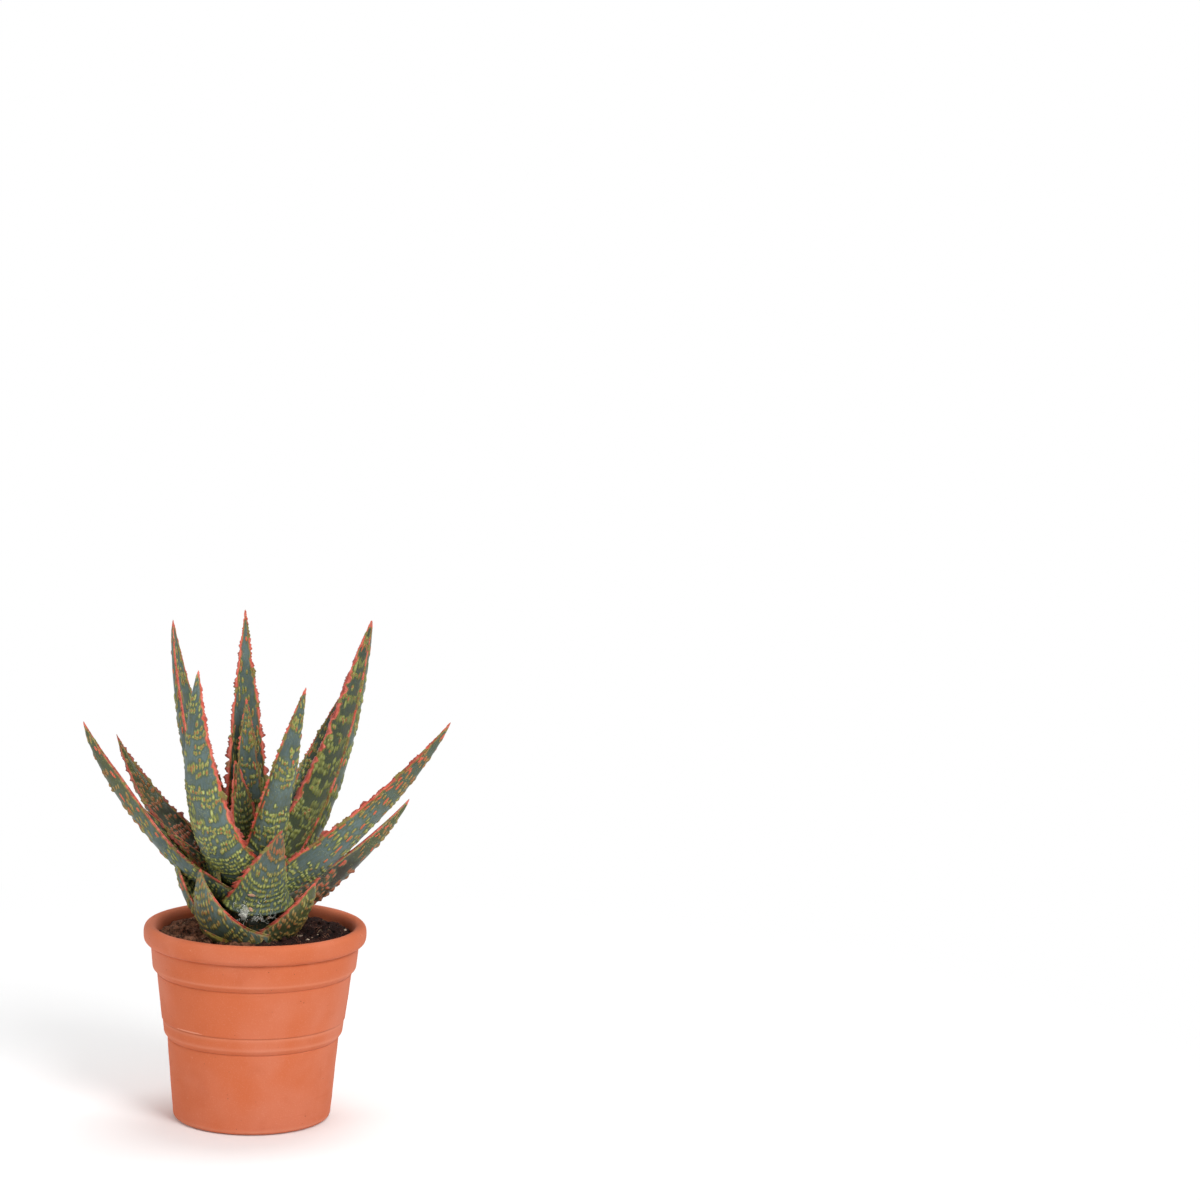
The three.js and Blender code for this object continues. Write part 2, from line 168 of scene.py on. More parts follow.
class Shader:
    """The node tree of one material, and the few ways in which its nodes are made."""

    def __init__(self, name: str, world: bool = False) -> None:
        """Starts an empty material that knows the place on the object, or a world that knows the sky."""
        self.material = (bpy.data.worlds if world else bpy.data.materials).new(name)
        self.material.use_nodes = True
        self.tree = self.material.node_tree
        self.tree.nodes.clear()
        self.here = self.node("ShaderNodeTexCoord").outputs["Generated" if world else "Object"]

    def node(self, kind: str, settings: dict[str, object] | None = None,
             sockets: dict[int | str, object] | None = None) -> bpy.types.Node:
        """Adds a node.

        Args:
            kind: The node's type.
            settings: Its properties, such as a Math node's operation, set first.
            sockets: Values or links of its input sockets, by name or number.

        Returns:
            The new node.
        """
        made = self.tree.nodes.new(kind)
        for key, setting in (settings or {}).items():
            setattr(made, key, setting)
        for key, value in (sockets or {}).items():
            socket = made.inputs[key]
            if isinstance(value, Value):
                self.tree.links.new(value.socket, socket)
            elif isinstance(value, Socket):
                self.tree.links.new(value, socket)
            elif isinstance(value, tuple) and socket.type == "RGBA":
                socket.default_value = (*value[:3], 1.0)
            else:
                socket.default_value = value
        return made

    def out(self, kind: str, settings: dict[str, object] | None = None,
            sockets: dict[int | str, object] | None = None, result: int | str = 0) -> Value:
        """Adds a node and gives one of its results."""
        return Value(self, self.node(kind, settings, sockets).outputs[result])

    def uv(self, name: str) -> Socket:
        """The place on a piece's own map."""
        return self.node("ShaderNodeUVMap", {"uv_map": name}).outputs[0]

    def read(self, name: str) -> Value:
        """A number that the mesh carries at each vertex."""
        return self.out("ShaderNodeAttribute", {"attribute_name": name}, result="Fac")

    def stretch(self, place: Socket, by: Triple) -> Socket:
        """Multiplies a place by three numbers."""
        return self.node("ShaderNodeVectorMath", {"operation": "MULTIPLY"}, {0: place, 1: by}).outputs[0]

    def grain(self, scale: float, detail: float = 3.0, rough: float = 0.55, warp: float = 0.0,
              at: Socket | None = None) -> Value:
        """Noise around 0.5.

        Args:
            scale: Lumps per unit of the place.
            detail: Number of finer layers.
            rough: Share of the finer layers.
            warp: How far the place is bent.
            at: The place, or None for the place on the object in metres.

        Returns:
            The noise.
        """
        return self.out("ShaderNodeTexNoise", {"noise_dimensions": "3D"},
                        {"Vector": self.here if at is None else at, "Scale": scale, "Detail": detail,
                         "Roughness": rough, "Distortion": warp})

    def cells(self, scale: float, at: Socket | None = None) -> Value:
        """Distance from the nearest of many scattered points, in cells."""
        return self.out("ShaderNodeTexVoronoi", {"feature": "F1"},
                        {"Vector": self.here if at is None else at, "Scale": scale, "Randomness": 1.0})

    def blend(self, factor: Value | float, first: object, second: object) -> Socket:
        """Mixes two colours: the first at 0, the second at 1."""
        return self.node("ShaderNodeMix", {"data_type": "RGBA", "clamp_factor": True},
                         {0: factor, 6: first, 7: second}).outputs[2]

    def coats(self, base: object, *coats: tuple[Value | float, object]) -> Socket:
        """Lays coats over a colour in order, each where its mask is 1."""
        for mask, colour in coats:
            base = self.blend(mask, base, colour)
        return base

    def finish(self, colour: object, roughness: Value | float, height: Value | None = None,
               depth: float = 0.001, strength: float = 1.0, **uniform: float) -> Material:
        """Closes the tree with a Principled shader.

        Args:
            colour: Base colour, as a value or a link.
            roughness: Roughness, as a number or a link.
            height: Height of the fine relief, 0 to 1, or None for a smooth surface.
            depth: What a height of 1 stands for, in metres.
            strength: Strength of the relief.
            uniform: Other sockets that are the same all over, with _ for each space.

        Returns:
            The finished material.
        """
        sockets: dict[int | str, object] = {"Base Color": colour, "Roughness": roughness}
        sockets.update({key.replace("_", " "): value for key, value in uniform.items()})
        if height is not None:
            bump = self.node("ShaderNodeBump", None,
                             {"Height": height, "Distance": depth, "Strength": strength})
            sockets["Normal"] = bump.outputs[0]
        shader = self.node("ShaderNodeBsdfPrincipled", None, sockets)
        self.node("ShaderNodeOutputMaterial", None, {"Surface": shader.outputs[0]})
        return self.material


# Finishes


@dataclass(frozen=True)
class LeafSkin:
    """Waxy slate-green skin with lime spots, coral cores and streaks, and coral margins."""

    back: Colour = paint(64, 80, 76)
    back_pale: Colour = paint(95, 115, 114)
    # inner face colours: darker, greener copies of the slate, whose darkness is painted shade on the
    # concave inner face
    inner: Colour = paint(40, 52, 42)
    shaded_inner_pale: Colour = paint(70, 88, 76)
    olive: Colour = paint(82, 88, 50)
    dusk: Colour = paint(42, 35, 20)
    spot: Colour = paint(124, 130, 56)
    # pale lime: the painted highlight in the middle of each spot, and the colour of the loose pale dots
    spot_pale: Colour = paint(184, 190, 116)
    ring: Colour = paint(68, 80, 54)
    coral: Colour = paint(200, 80, 60)
    coral_pale: Colour = paint(216, 116, 96)
    rust: Colour = paint(140, 82, 48)
    ember: Colour = paint(172, 80, 56)
    fringe: Colour = paint(126, 48, 40)
    line: Colour = paint(136, 124, 54)
    moss: Colour = paint(76, 80, 38)

    def material(self) -> Material:
        """The skin, from the fields spot, blush, edge, rim, dusk, green and inward of a leaf's mesh."""
        s = Shader("leaf_skin")
        broad, fine = s.grain(55, 3), s.grain(900, 4, 0.6)
        veins = s.grain(9, 3, 0.6, at=s.stretch(s.uv("skin"), (9.0, 0.8, 1.0)))
        ragged = s.read("spot") + (s.grain(1300, 3) - 0.5) * 0.6
        skin = self.flesh(s, broad, (broad * 0.9 + veins * 0.6 + fine * 0.3 - 0.45).step(0.15, 0.75))
        skin = self.margined(s, self.spotted(s, skin, ragged, broad))
        gloss = s.grain(300, 3) * 0.2 + 0.3 + ragged.step(1.1, 0.8) * 0.06
        height = ragged.step(1.3, 0.3) * 0.45 + fine * 0.3 + veins * 0.1
        return s.finish(skin, gloss, height, 0.0005, 0.9, Specular_IOR_Level=0.45)

    def flesh(self, s: Shader, broad: Value, tone: Value) -> Socket:
        """The bare skin: slate on the back and darker, greener on the inner face, where the darkness is
        painted shade, with olive mottling, moss and brown.

        Args:
            s: The material's nodes.
            broad: Soft noise over the whole leaf.
            tone: Light and dark of the skin.

        Returns:
            The colour.
        """
        mottle = s.grain(11, 4, 0.65, at=s.stretch(s.uv("skin"), (2.6, 1.0, 1.0)))
        moss = s.blend(tone, self.moss, self.olive)
        # painted shade: the inner face takes the darker copies, by the mesh's inward field
        skin = s.blend(s.read("inward"), s.blend(tone, self.back, self.back_pale),
                       s.blend(tone, self.inner, self.shaded_inner_pale))
        return s.coats(skin, (mottle.step(0.47, 0.7) * 0.65, self.olive),
                       ((s.read("green") + (mottle - 0.5)).step(0.0, 1.2), moss),
                       ((s.read("dusk") + (broad - 0.5) * 1.2).step(0.3, 1.1), self.dusk))

    def spotted(self, s: Shader, skin: Socket, ragged: Value, broad: Value) -> Socket:
        """Lays on the spots: a soft ring, the lime spot with a painted highlight towards its middle, its
        core, and loose groups of pale dots.

        Args:
            s: The material's nodes.
            skin: The colour under them.
            ragged: Distance to the nearest spot, in spots, with a slightly ragged edge.
            broad: Soft noise over the whole leaf.

        Returns:
            The colour.
        """
        blush, dusk = s.read("blush"), s.read("dusk")
        olive = (0 - blush).most(0.0)
        # painted highlight: each spot is drawn paler towards its middle, as if lit on its raised dome
        pale = (ragged + (s.grain(420, 2) - 0.5) * 1.2).step(1.0, 0.3) * (1 - olive * 0.8)
        lime = s.coats(s.blend(pale * (1 - blush.step(0.2, 0.4) * 0.5), self.spot, self.spot_pale),
                       (olive.step(0.55, 1.0) * 0.6, self.olive),
                       ((dusk + (broad - 0.5)).step(0.1, 0.9) * 0.92,
                        s.blend(s.grain(260, 2).step(0.42, 0.6), self.rust, self.ember)))
        core = s.blend(blush.step(0.95, 0.99),
                       s.blend(s.grain(300, 2).step(0.45, 0.7), self.rust, self.ember),
                       s.blend(s.grain(340, 3).step(0.44, 0.6) * 0.8, self.coral, self.ember))
        dots = s.cells(50, at=s.stretch(s.uv("skin"), (1.0, 0.7, 1.0))).step(0.32, 0.18)
        groups = s.grain(130, 2).step(0.55, 0.63)
        return s.coats(skin, (ragged.step(2.2, 0.95) * 0.75, self.ring), (ragged.step(1.2, 0.8), lime),
                       ((ragged - blush.least(0.85)).step(0.25, -0.2) * 0.9, core),
                       (dots * groups * ragged.step(1.0, 1.3) * 0.35, self.spot_pale))

    def margined(self, s: Shader, skin: Socket) -> Socket:
        """Lays on the olive line inside the margin and the coral plates outside it.

        Args:
            s: The material's nodes.
            skin: The colour under them.

        Returns:
            The colour.
        """
        edge, rim, dusk = s.read("edge"), s.read("rim"), s.read("dusk")
        wander = s.grain(300, 3) - 0.5
        line = s.blend(s.grain(380, 3).step(0.46, 0.62), self.line, self.rust)
        plates = s.coats(s.blend(s.grain(240, 3).step(0.36, 0.66), self.coral, self.coral_pale),
                         (s.grain(150, 3).step(0.52, 0.64) * 0.6, self.ember),
                         ((dusk + s.grain(170, 3)).step(0.75, 1.2) * 0.7,
                          s.blend(s.grain(420, 2).step(0.45, 0.55), self.rust, self.fringe)),
                         ((rim + wander * 2.0).step(-1.0, -2.6) * 0.65, self.fringe))
        coral = (edge + wander * 0.6).step(0.3, 0.6) * (rim + wander * 0.5).step(0.12, -0.12)
        return s.coats(skin, ((rim + wander).step(0.9, 0.35) * 0.9, line), (coral, plates))


@dataclass(frozen=True)
class Terracotta:
    """Matt fired clay with broad orange and pink mottling, fine grain, pale scuffs and dark pinholes."""

    clay: Colour = paint(196, 100, 60)
    pink: Colour = paint(200, 112, 80)
    deep: Colour = paint(176, 82, 44)
    chalk: Colour = paint(222, 160, 132)
    # dark clay colour that paints shade into the creases and inside the pot
    shade_clay: Colour = paint(134, 60, 32)
    pinhole: Colour = paint(110, 54, 36)

    def material(self) -> Material:
        """Clay with painted shade in its creases and inside the pot, painted highlights along its convex
        edges, and pale scuffs, from the fields for the shade of the creases, the highlight of the edges,
        the shade inside and the scuff marks.
        """
        s = Shader("terracotta")
        broad, patch, fine = s.grain(14, 3, 0.5, 0.4), s.grain(40, 4, 0.55), s.grain(1300, 4, 0.65)
        turned = s.grain(22, 3, at=s.stretch(s.here, (1.0, 1.0, 14.0)))
        mark = s.read("mark") + (s.grain(500, 3) - 0.5) * 0.8
        # painted shade: the inner wall darkens from the rim down towards the soil
        inside = s.read("inside") + (patch - 0.5) * 0.5
        scuff = s.grain(75, 5, 0.7).step(0.64, 0.74) * s.grain(420, 3).step(0.48, 0.6)
        holes = s.cells(240).step(0.1, 0.05) * s.grain(90, 2).step(0.5, 0.6)
        colour = s.coats(s.blend(broad.step(0.38, 0.64), self.clay, self.pink),
                         (patch.step(0.54, 0.8) * 0.3, self.deep),
                         (turned.step(0.6, 0.85) * 0.3, self.deep),
                         # painted highlight: pale lines along the convex edges of the steps
                         (s.read("edge_highlight") * (patch + 0.2) * 0.25, self.chalk),
                         (mark.step(0.35, 0.7) * 0.55, self.chalk),
                         # painted shade: thin dark lines in the creases under the steps
                         (s.read("crease_shade") * (patch + 0.4) * 0.4, self.shade_clay),
                         (inside.step(0.15, 1.0) * 0.85, self.shade_clay),
                         (scuff * 0.5, self.chalk), (holes * 0.8, self.pinhole),
                         ((fine - 0.5).step(0.02, 0.2) * 0.15, self.chalk))
        height = fine * 0.5 + patch * 0.4 + turned * 0.5 - holes * 0.8
        return s.finish(colour, 0.72 + (patch - 0.5) * 0.2, height, 0.0003, 0.5,
                        Specular_IOR_Level=0.3)


@dataclass(frozen=True)
class PottingSoil:
    """Dark peat with browner lumps and pale grit, with painted light that makes it lighter and redder at
    the left of the pot and leaves the right darker.
    """

    # near black of the painted shade in the hollows
    dark: Colour = paint(15, 8, 7)
    brown: Colour = paint(58, 32, 26)
    # lit copies of the peat's colours, painted on the left of the bed
    lit_dark: Colour = paint(26, 14, 10)
    lit_brown: Colour = paint(150, 102, 76)
    red: Colour = paint(122, 66, 44)
    grit: Colour = paint(176, 150, 128)

    def material(self) -> Material:
        """Peat with painted shade in its hollows, which are darker than its lumps."""
        s = Shader("potting_soil")
        lumps, crumb = s.grain(160, 5, 0.7), s.grain(900, 4, 0.7)
        # painted shade: the colour darkens where the relief dips into hollows
        rise = (lumps * 0.6 + crumb * 0.4).step(0.38, 0.62)
        side = s.out("ShaderNodeSeparateXYZ", None, {0: s.here}, "X")
        # painted light: the left of the bed takes the lit colours, the right stays dark
        lit_left = (side + (s.grain(60, 3) - 0.5) * 0.05).step(0.02, -0.03)
        # red patches, painted stronger on the lit left
        flush = s.grain(70, 3).step(0.5, 0.7) * crumb.step(0.45, 0.6) * (lit_left * 0.7 + 0.3)
        grit = s.cells(520).step(0.16, 0.1) * s.grain(210, 2).step(0.56, 0.64)
        colour = s.coats(s.blend(rise, self.dark, self.brown),
                         (lit_left, s.blend(rise, self.lit_dark, self.lit_brown)), (flush, self.red),
                         (grit * 0.8, self.grit))
        return s.finish(colour, 0.9, lumps * 0.6 + crumb * 0.6, 0.0012, 0.9, Specular_IOR_Level=0.25)


@dataclass(frozen=True)
class Fibre:
    """Dry plant matter whose colour changes from strand to strand."""

    name: str
    first: Colour
    second: Colour
    roughness: float = 0.8

    def material(self) -> Material:
        """Two colours blended by noise at the scale of a strand."""
        s = Shader(self.name)
        colour = s.blend(s.grain(140, 4, 0.7).step(0.36, 0.64), self.first, self.second)
        return s.finish(colour, self.roughness, s.grain(1600, 3), 0.0002, 0.6)


@dataclass(frozen=True)
class PaleFloor:
    """Pale studio floor that brightens to plain white far from the object."""

    tone: float = 0.95
    near: float = 0.1
    far: float = 0.7

    def material(self) -> Material:
        """A matt floor near the object, mixed to a plain glow with distance."""
        s = Shader("pale_floor")
        away = s.out("ShaderNodeVectorMath", {"operation": "LENGTH"}, {0: s.here}, result="Value")
        matt = s.node("ShaderNodeBsdfDiffuse", None, {"Color": (self.tone, self.tone, self.tone)})
        glow = s.node("ShaderNodeEmission", None, {"Color": (1.0, 1.0, 1.0), "Strength": 1.0})
        mixed = s.node("ShaderNodeMixShader", None,
                       {0: away.step(self.near, self.far), 1: matt.outputs[0], 2: glow.outputs[0]})
        s.node("ShaderNodeOutputMaterial", None, {"Surface": mixed.outputs[0]})
        return s.material


# Meshes


@dataclass
class Faces:
    """The faces of a grid of vertices that is closed round, with a pole at each end."""

    rows: int
    columns: int

    def corners(self) -> tuple[Array, Array]:
        """Numbers the corners, with row r and column c at r * columns + c and the poles last.

        Returns:
            The squares between the rows, and the triangles round both poles.
        """
        row, column = np.meshgrid(np.arange(self.rows - 1), np.arange(self.columns), indexing="ij")
        after = (column + 1) % self.columns
        a, b = row * self.columns + column, row * self.columns + after
        squares = np.stack([a, b, b + self.columns, a + self.columns], -1).reshape(-1, 4)
        c = np.arange(self.columns)
        after = (c + 1) % self.columns
        first, last = self.rows * self.columns, self.rows * self.columns + 1
        top = (self.rows - 1) * self.columns
        foot = np.stack([np.full_like(c, first), after, c], -1)
        head = np.stack([np.full_like(c, last), top + c, top + after], -1)
        return squares, np.concatenate([foot, head])


def link(name: str, data: bpy.types.ID) -> Piece:
    """Puts an object into the scene."""
    thing = bpy.data.objects.new(name, data)
    bpy.context.scene.collection.objects.link(thing)
    return thing


@dataclass
class Builder:
    """Turns arrays into a Blender object that rides on the frame."""

    slot: str
    replaces: tuple[str, ...] = ()

    def mesh(self, name: str, points: Array, squares: Array, triangles: Array,
             fields: dict[str, Array] | None = None, uv: Array | None = None) -> Mesh:
        """Builds a mesh from arrays, with faces turned outwards by the sign of the volume they close.

        Args:
            name: The mesh's name.
            points: Vertices in millimetres.
            squares: Corners of the four-sided faces.
            triangles: Corners of the three-sided faces.
            fields: Numbers carried at each vertex, by name.
            uv: The place of each vertex on the piece's own map.

        Returns:
            The mesh, smooth.
        """
        a, b, c, d = (points[squares[:, k]] for k in range(4))
        e, f, g = (points[triangles[:, k]] for k in range(3))
        volume = np.einsum("ij,ij", a, np.cross(b, c)) + np.einsum("ij,ij", a, np.cross(c, d))
        volume += np.einsum("ij,ij", e, np.cross(f, g))
        if volume < 0:
            squares, triangles = squares[:, ::-1], triangles[:, ::-1]
        loops = np.concatenate([squares.ravel(), triangles.ravel()]).astype(np.int32)
        starts = np.concatenate([np.arange(len(squares)) * 4,
                                 len(squares) * 4 + np.arange(len(triangles)) * 3]).astype(np.int32)
        mesh = bpy.data.meshes.new(name)
        mesh.vertices.add(len(points))
        mesh.vertices.foreach_set("co", (points * MM).astype(np.float32).ravel())
        mesh.loops.add(len(loops))
        mesh.loops.foreach_set("vertex_index", loops)
        mesh.polygons.add(len(starts))
        mesh.polygons.foreach_set("loop_start", starts)
        mesh.update(calc_edges=True)
        for key, values in (fields or {}).items():
            mesh.attributes.new(key, "FLOAT", "POINT").data.foreach_set(
                "value", values.astype(np.float32).ravel())
        if uv is not None:
            mesh.uv_layers.new(name="skin").data.foreach_set("uv", uv[loops].astype(np.float32).ravel())
        mesh.shade_smooth()
        mesh.validate()
        return mesh

    def place(self, mesh: Mesh, material: Material) -> Piece:
        """Puts a mesh into the scene as a piece of the object.

        Args:
            mesh: The finished mesh.
            material: Its material.

        Returns:
            The new piece.
        """
        mesh.materials.append(material)
        piece = link(mesh.name, mesh)
        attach(piece, "root")
        if self.replaces:
            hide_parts(*self.replaces)
        LOG.info("%s: %d faces", mesh.name, len(mesh.polygons))
        return piece

    def piece(self, name: str, grid: Grid, material: Material, fields: dict[str, Array] | None = None,
              uv: Array | None = None) -> Piece:
        """Builds a mesh from a grid and places it."""
        return self.place(self.mesh(name, *grid, fields, uv), material)


def turned_grid(profile: Array, sides: int) -> Grid:
    """Turns a profile about the Z axis: x = r cos a, y = r sin a, z = z.

    Args:
        profile: Radii and heights. The first and last lie on the axis.
        sides: Number of steps round.

    Returns:
        Vertices, squares and triangles.
    """
    angle = np.arange(sides) / sides * 2 * np.pi
    ring = profile[1:-1]
    points = np.stack([ring[:, :1] * np.cos(angle), ring[:, :1] * np.sin(angle),
                       np.repeat(ring[:, 1:], sides, 1)], -1).reshape(-1, 3)
    poles = np.array([[0, 0, profile[0, 1]], [0, 0, profile[-1, 1]]])
    squares, triangles = Faces(len(ring), sides).corners()
    return np.concatenate([points, poles]), squares, triangles


def ball(rings: int, steps: int) -> Grid:
    """A ball of radius 1: the half circle (cos a, sin a), turned about the Z axis.

    Args:
        rings: Number of rings between the poles.
        steps: Number of steps round.

    Returns:
        Vertices, squares and triangles.
    """
    angle = np.linspace(-np.pi / 2, np.pi / 2, rings + 2)
    profile = np.stack([np.cos(angle), np.sin(angle)], -1)
    profile[[0, -1], 0] = 0
    return turned_grid(profile, steps)


def copies(points: Array, squares: Array, triangles: Array) -> Grid:
    """Joins copies of one grid: the corners of copy k count on from k times its number of vertices.

    Args:
        points: Vertices, as copy by vertex by three.
        squares: Corners of one copy's four-sided faces.
        triangles: Corners of one copy's three-sided faces.

    Returns:
        Vertices, squares and triangles of all copies.
    """
    step = (np.arange(len(points)) * points.shape[1])[:, None, None]
    return (points.reshape(-1, 3), (squares[None] + step).reshape(-1, 4),
            (triangles[None] + step).reshape(-1, 3))


def distances(line: Array) -> Array:
    """How far along a line each of its points is."""
    return np.concatenate([[0], np.cumsum(np.linalg.norm(np.diff(line, axis=0), axis=1))])


def resampled(line: Array, places: Array) -> Array:
    """Radii and heights of a line at other distances along it."""
    run = distances(line)
    return np.stack([np.interp(places, run, line[:, k]) for k in (0, 1)], -1)


def rounded(corners: Sequence[Triple], steps: int = 6) -> Array:
    """Rounds the corners of a profile. Each becomes the curve (1-t)^2 A + 2t(1-t) P + t^2 B.

    Args:
        corners: Radius, height and rounding of each corner P. A and B lie that far along its two sides,
            and never past their middles.
        steps: Points on each curve.

    Returns:
        Radii and heights along the rounded profile.
    """
    corner = np.array(corners, float)
    p, cut = corner[:, :2], corner[:, 2]
    side = np.diff(p, axis=0)
    length = np.linalg.norm(side, axis=1)
    back = np.minimum(cut[1:-1], length[:-1] * 0.49)[:, None]
    ahead = np.minimum(cut[1:-1], length[1:] * 0.49)[:, None]
    a = p[1:-1] - side[:-1] / length[:-1, None] * back
    b = p[1:-1] + side[1:] / length[1:, None] * ahead
    t = np.linspace(0, 1, steps)[None, :, None]
    curve = (1 - t) ** 2 * a[:, None] + 2 * t * (1 - t) * p[1:-1, None] + t ** 2 * b[:, None]
    return np.concatenate([p[:1], curve.reshape(-1, 2), p[-1:]])


# The pot and what fills it


@dataclass(frozen=True)
class Swell:
    """Unevenness of a surface: how high it stands, how far it is across, and its random source."""

    height: float
    size: float
    seed: int

    def waves(self, x: Array, y: Array) -> Array:
        """Its height at a place, as soft rises and hollows."""
        return self.height * noise(x, y, self.size, self.seed)

    def lumps(self, x: Array, y: Array) -> Array:
        """Its height at a place, as ridges between hollows: 1 - 2 |noise|."""
        return self.height * (1 - 2 * np.abs(noise(x, y, self.size, self.seed)))


@dataclass(frozen=True)
class Scuff:
    """A pale scuff on the front of the pot: its place right and up, and its half width and half height."""

    right: float
    up: float
    wide: float
    tall: float


@dataclass
class Pot:
    """The clay pot: a foot, a lower body, a slanted band, an upper body, a collar and a rolled rim.
    The wall's heights and radii are those of its middle, which parts the outside from the inside. The
    swells leave the foot exactly round, up to plain_radius and plain_height. Sizes are in millimetres."""

    finish: Terracotta = field(default_factory=Terracotta)
    sides: int = 180
    row_step: float = 2.6
    drain_ring: float = 21.0
    drain_radius: float = 4.5
    drain_holes: int = 3
    drill_span: Pair = (-6.0, 14.0)
    drill_sides: int = 32
    sharp_degrees: float = 50.0
    creases: tuple[float, ...] = (107.6, 90.5, 61.3, 50.6)
    crease_width: float = 0.4
    # heights of the convex edges that get a painted highlight
    edges: tuple[float, ...] = (94.4, 54.0, 60.4, 2.5)
    edge_width: float = 0.9
    # heights over which the painted shade inside the pot deepens, from none to full
    inside_shade_span: Pair = (119.0, 111.0)
    broad: Swell = Swell(0.12, 17, 3)
    fine: Swell = Swell(0.06, 6, 5)
    swell_radius: float = 40.0
    plain_radius: float = 46.0
    plain_height: float = 5.0
    scuffs: tuple[Scuff, ...] = (
        Scuff(-38.0, 62.3, 8.0, 0.45), Scuff(-46.5, 66.8, 2.2, 0.35), Scuff(-5.8, 5.6, 0.5, 1.3))
    wall_heights: tuple[float, ...] = (0, 58, 92, 118, 121)
    wall_radii: tuple[float, ...] = (44.4, 50.4, 57.0, 59.9, 61.4)
    profile: tuple[Triple, ...] = (
        (0, 1.2, 0), (38, 1.2, 0.8), (39.6, 0, 0.8), (44.8, 0, 1.0), (48.0, 1.0, 2.4), (48.4, 4.5, 3),
        (50.4, 27, 5), (52.3, 49.6, 0.5), (51.9, 50.4, 0.3), (52.7, 51.0, 0.4), (54.5, 53.4, 0.8),
        (55.3, 60.2, 0.6), (55.2, 61.2, 0.3), (56.0, 61.9, 0.5), (57.8, 76, 5), (59.3, 89.6, 0.5),
        (58.9, 90.4, 0.3), (59.7, 91.0, 0.4), (62.1, 93.6, 0.9), (63.4, 106.4, 0.7),
        (63.0, 107.4, 0.3), (63.9, 107.9, 0.4), (66.8, 109.3, 1.8), (68.0, 112.0, 2.2),
        (68.0, 117.6, 3.2), (66.0, 120.2, 2.4), (62.2, 120.2, 2.4), (60.0, 117.4, 2.8), (59.7, 112.0, 4),
        (57.2, 92.0, 4), (51.6, 58.0, 4), (44.0, 6.0, 1.5), (0, 6.0, 0))

    def profile_points(self) -> Array:
        """The rounded outline, with extra points on its long sides."""
        line = rounded(self.profile)
        run = distances(line)
        places = np.sort(np.concatenate([run, np.arange(self.row_step, run[-1], self.row_step)]))
        apart = np.concatenate([[True], np.diff(places) > 0.05])
        return resampled(line, places[apart])

    def fields(self, points: Array) -> dict[str, Array]:
        """Where painted shade darkens the creases, where painted highlights lighten the convex edges, and
        how deep a vertex inside the pot is, which sets how much painted shade it takes.

        Args:
            points: The pot's vertices.

        Returns:
            The fields of the creases' painted shade, the edges' painted highlight, the painted shade inside
            and the scuff marks.
        """
        radius, z = np.hypot(points[:, 0], points[:, 1]), points[:, 2]
        outer = radius > np.interp(z, self.wall_heights, self.wall_radii)
        front = outer & (points[:, 1] < 0)
        # painted shade along the creases, where the steps hide the light
        crease_shade = sum(np.exp(-((z - height) / self.crease_width) ** 2) for height in self.creases)
        # painted highlight along the convex edges
        edge_highlight = sum(np.exp(-((z - height) / self.edge_width) ** 2) for height in self.edges)
        mark = sum(np.exp(-((points[:, 0] - scuff.right) / scuff.wide) ** 4
                          - ((z - scuff.up) / scuff.tall) ** 2) for scuff in self.scuffs)
        # the inside field is painted shade on the inner wall, growing downwards
        return {"crease_shade": crease_shade * outer, "edge_highlight": edge_highlight * outer,
                "inside": np.where(outer, 0, smoothstep(*self.inside_shade_span, z)), "mark": mark * front}

    def build(self) -> Piece:
        """Turns the pot, gives its wall a faint unevenness and drills its drain holes.

        Returns:
            The finished piece.
        """
        points, squares, triangles = turned_grid(self.profile_points(), self.sides)
        fields = self.fields(points)
        x, y, z = points.T
        angle = np.arctan2(y, x)
        right, away = self.swell_radius * np.cos(angle), self.swell_radius * np.sin(angle)
        swell = self.broad.waves(right + z, away) + self.fine.waves(z, right - away)
        radius = np.maximum(np.hypot(x, y), 1e-6)
        wall = (radius > self.plain_radius) & (z > self.plain_height)
        points[:, :2] *= np.where(wall, 1 + swell / radius, 1)[:, None]
        builder = Builder("terracotta", ("pot",))
        solid = builder.mesh("pot_blank", points, squares, triangles, fields)
        return builder.place(self.drilled(solid), self.finish.material())

    def drilled(self, solid: Mesh) -> Mesh:
        """Cuts the drain holes through the floor of the pot.

        Args:
            solid: The pot without holes.

        Returns:
            A new mesh with the holes, smooth but for its sharp edges.
        """
        turn = np.arange(self.drain_holes) / self.drain_holes * 2 * np.pi
        low, high = self.drill_span
        profile = np.array([(0, low), (self.drain_radius, low), (self.drain_radius, high), (0, high)])
        points, squares, triangles = turned_grid(profile, self.drill_sides)
        shift = np.stack([self.drain_ring * np.cos(turn), self.drain_ring * np.sin(turn), 0 * turn], -1)
        drills = Builder("terracotta").mesh(
            "drills", *copies(points[None] + shift[:, None], squares, triangles))
        blank, tool = link("blank", solid), link("tool", drills)
        cut = blank.modifiers.new("drain", "BOOLEAN")
        cut.operation, cut.solver, cut.object = "DIFFERENCE", "EXACT", tool
        graph = bpy.context.evaluated_depsgraph_get()
        mesh = bpy.data.meshes.new_from_object(blank.evaluated_get(graph))
        mesh.name = "pot_body"
        mesh.materials.clear()
        for thing in (blank, tool):
            bpy.data.objects.remove(thing)
        mesh.shade_smooth()
        mesh.set_sharp_from_angle(angle=math.radians(self.sharp_degrees))
        return mesh


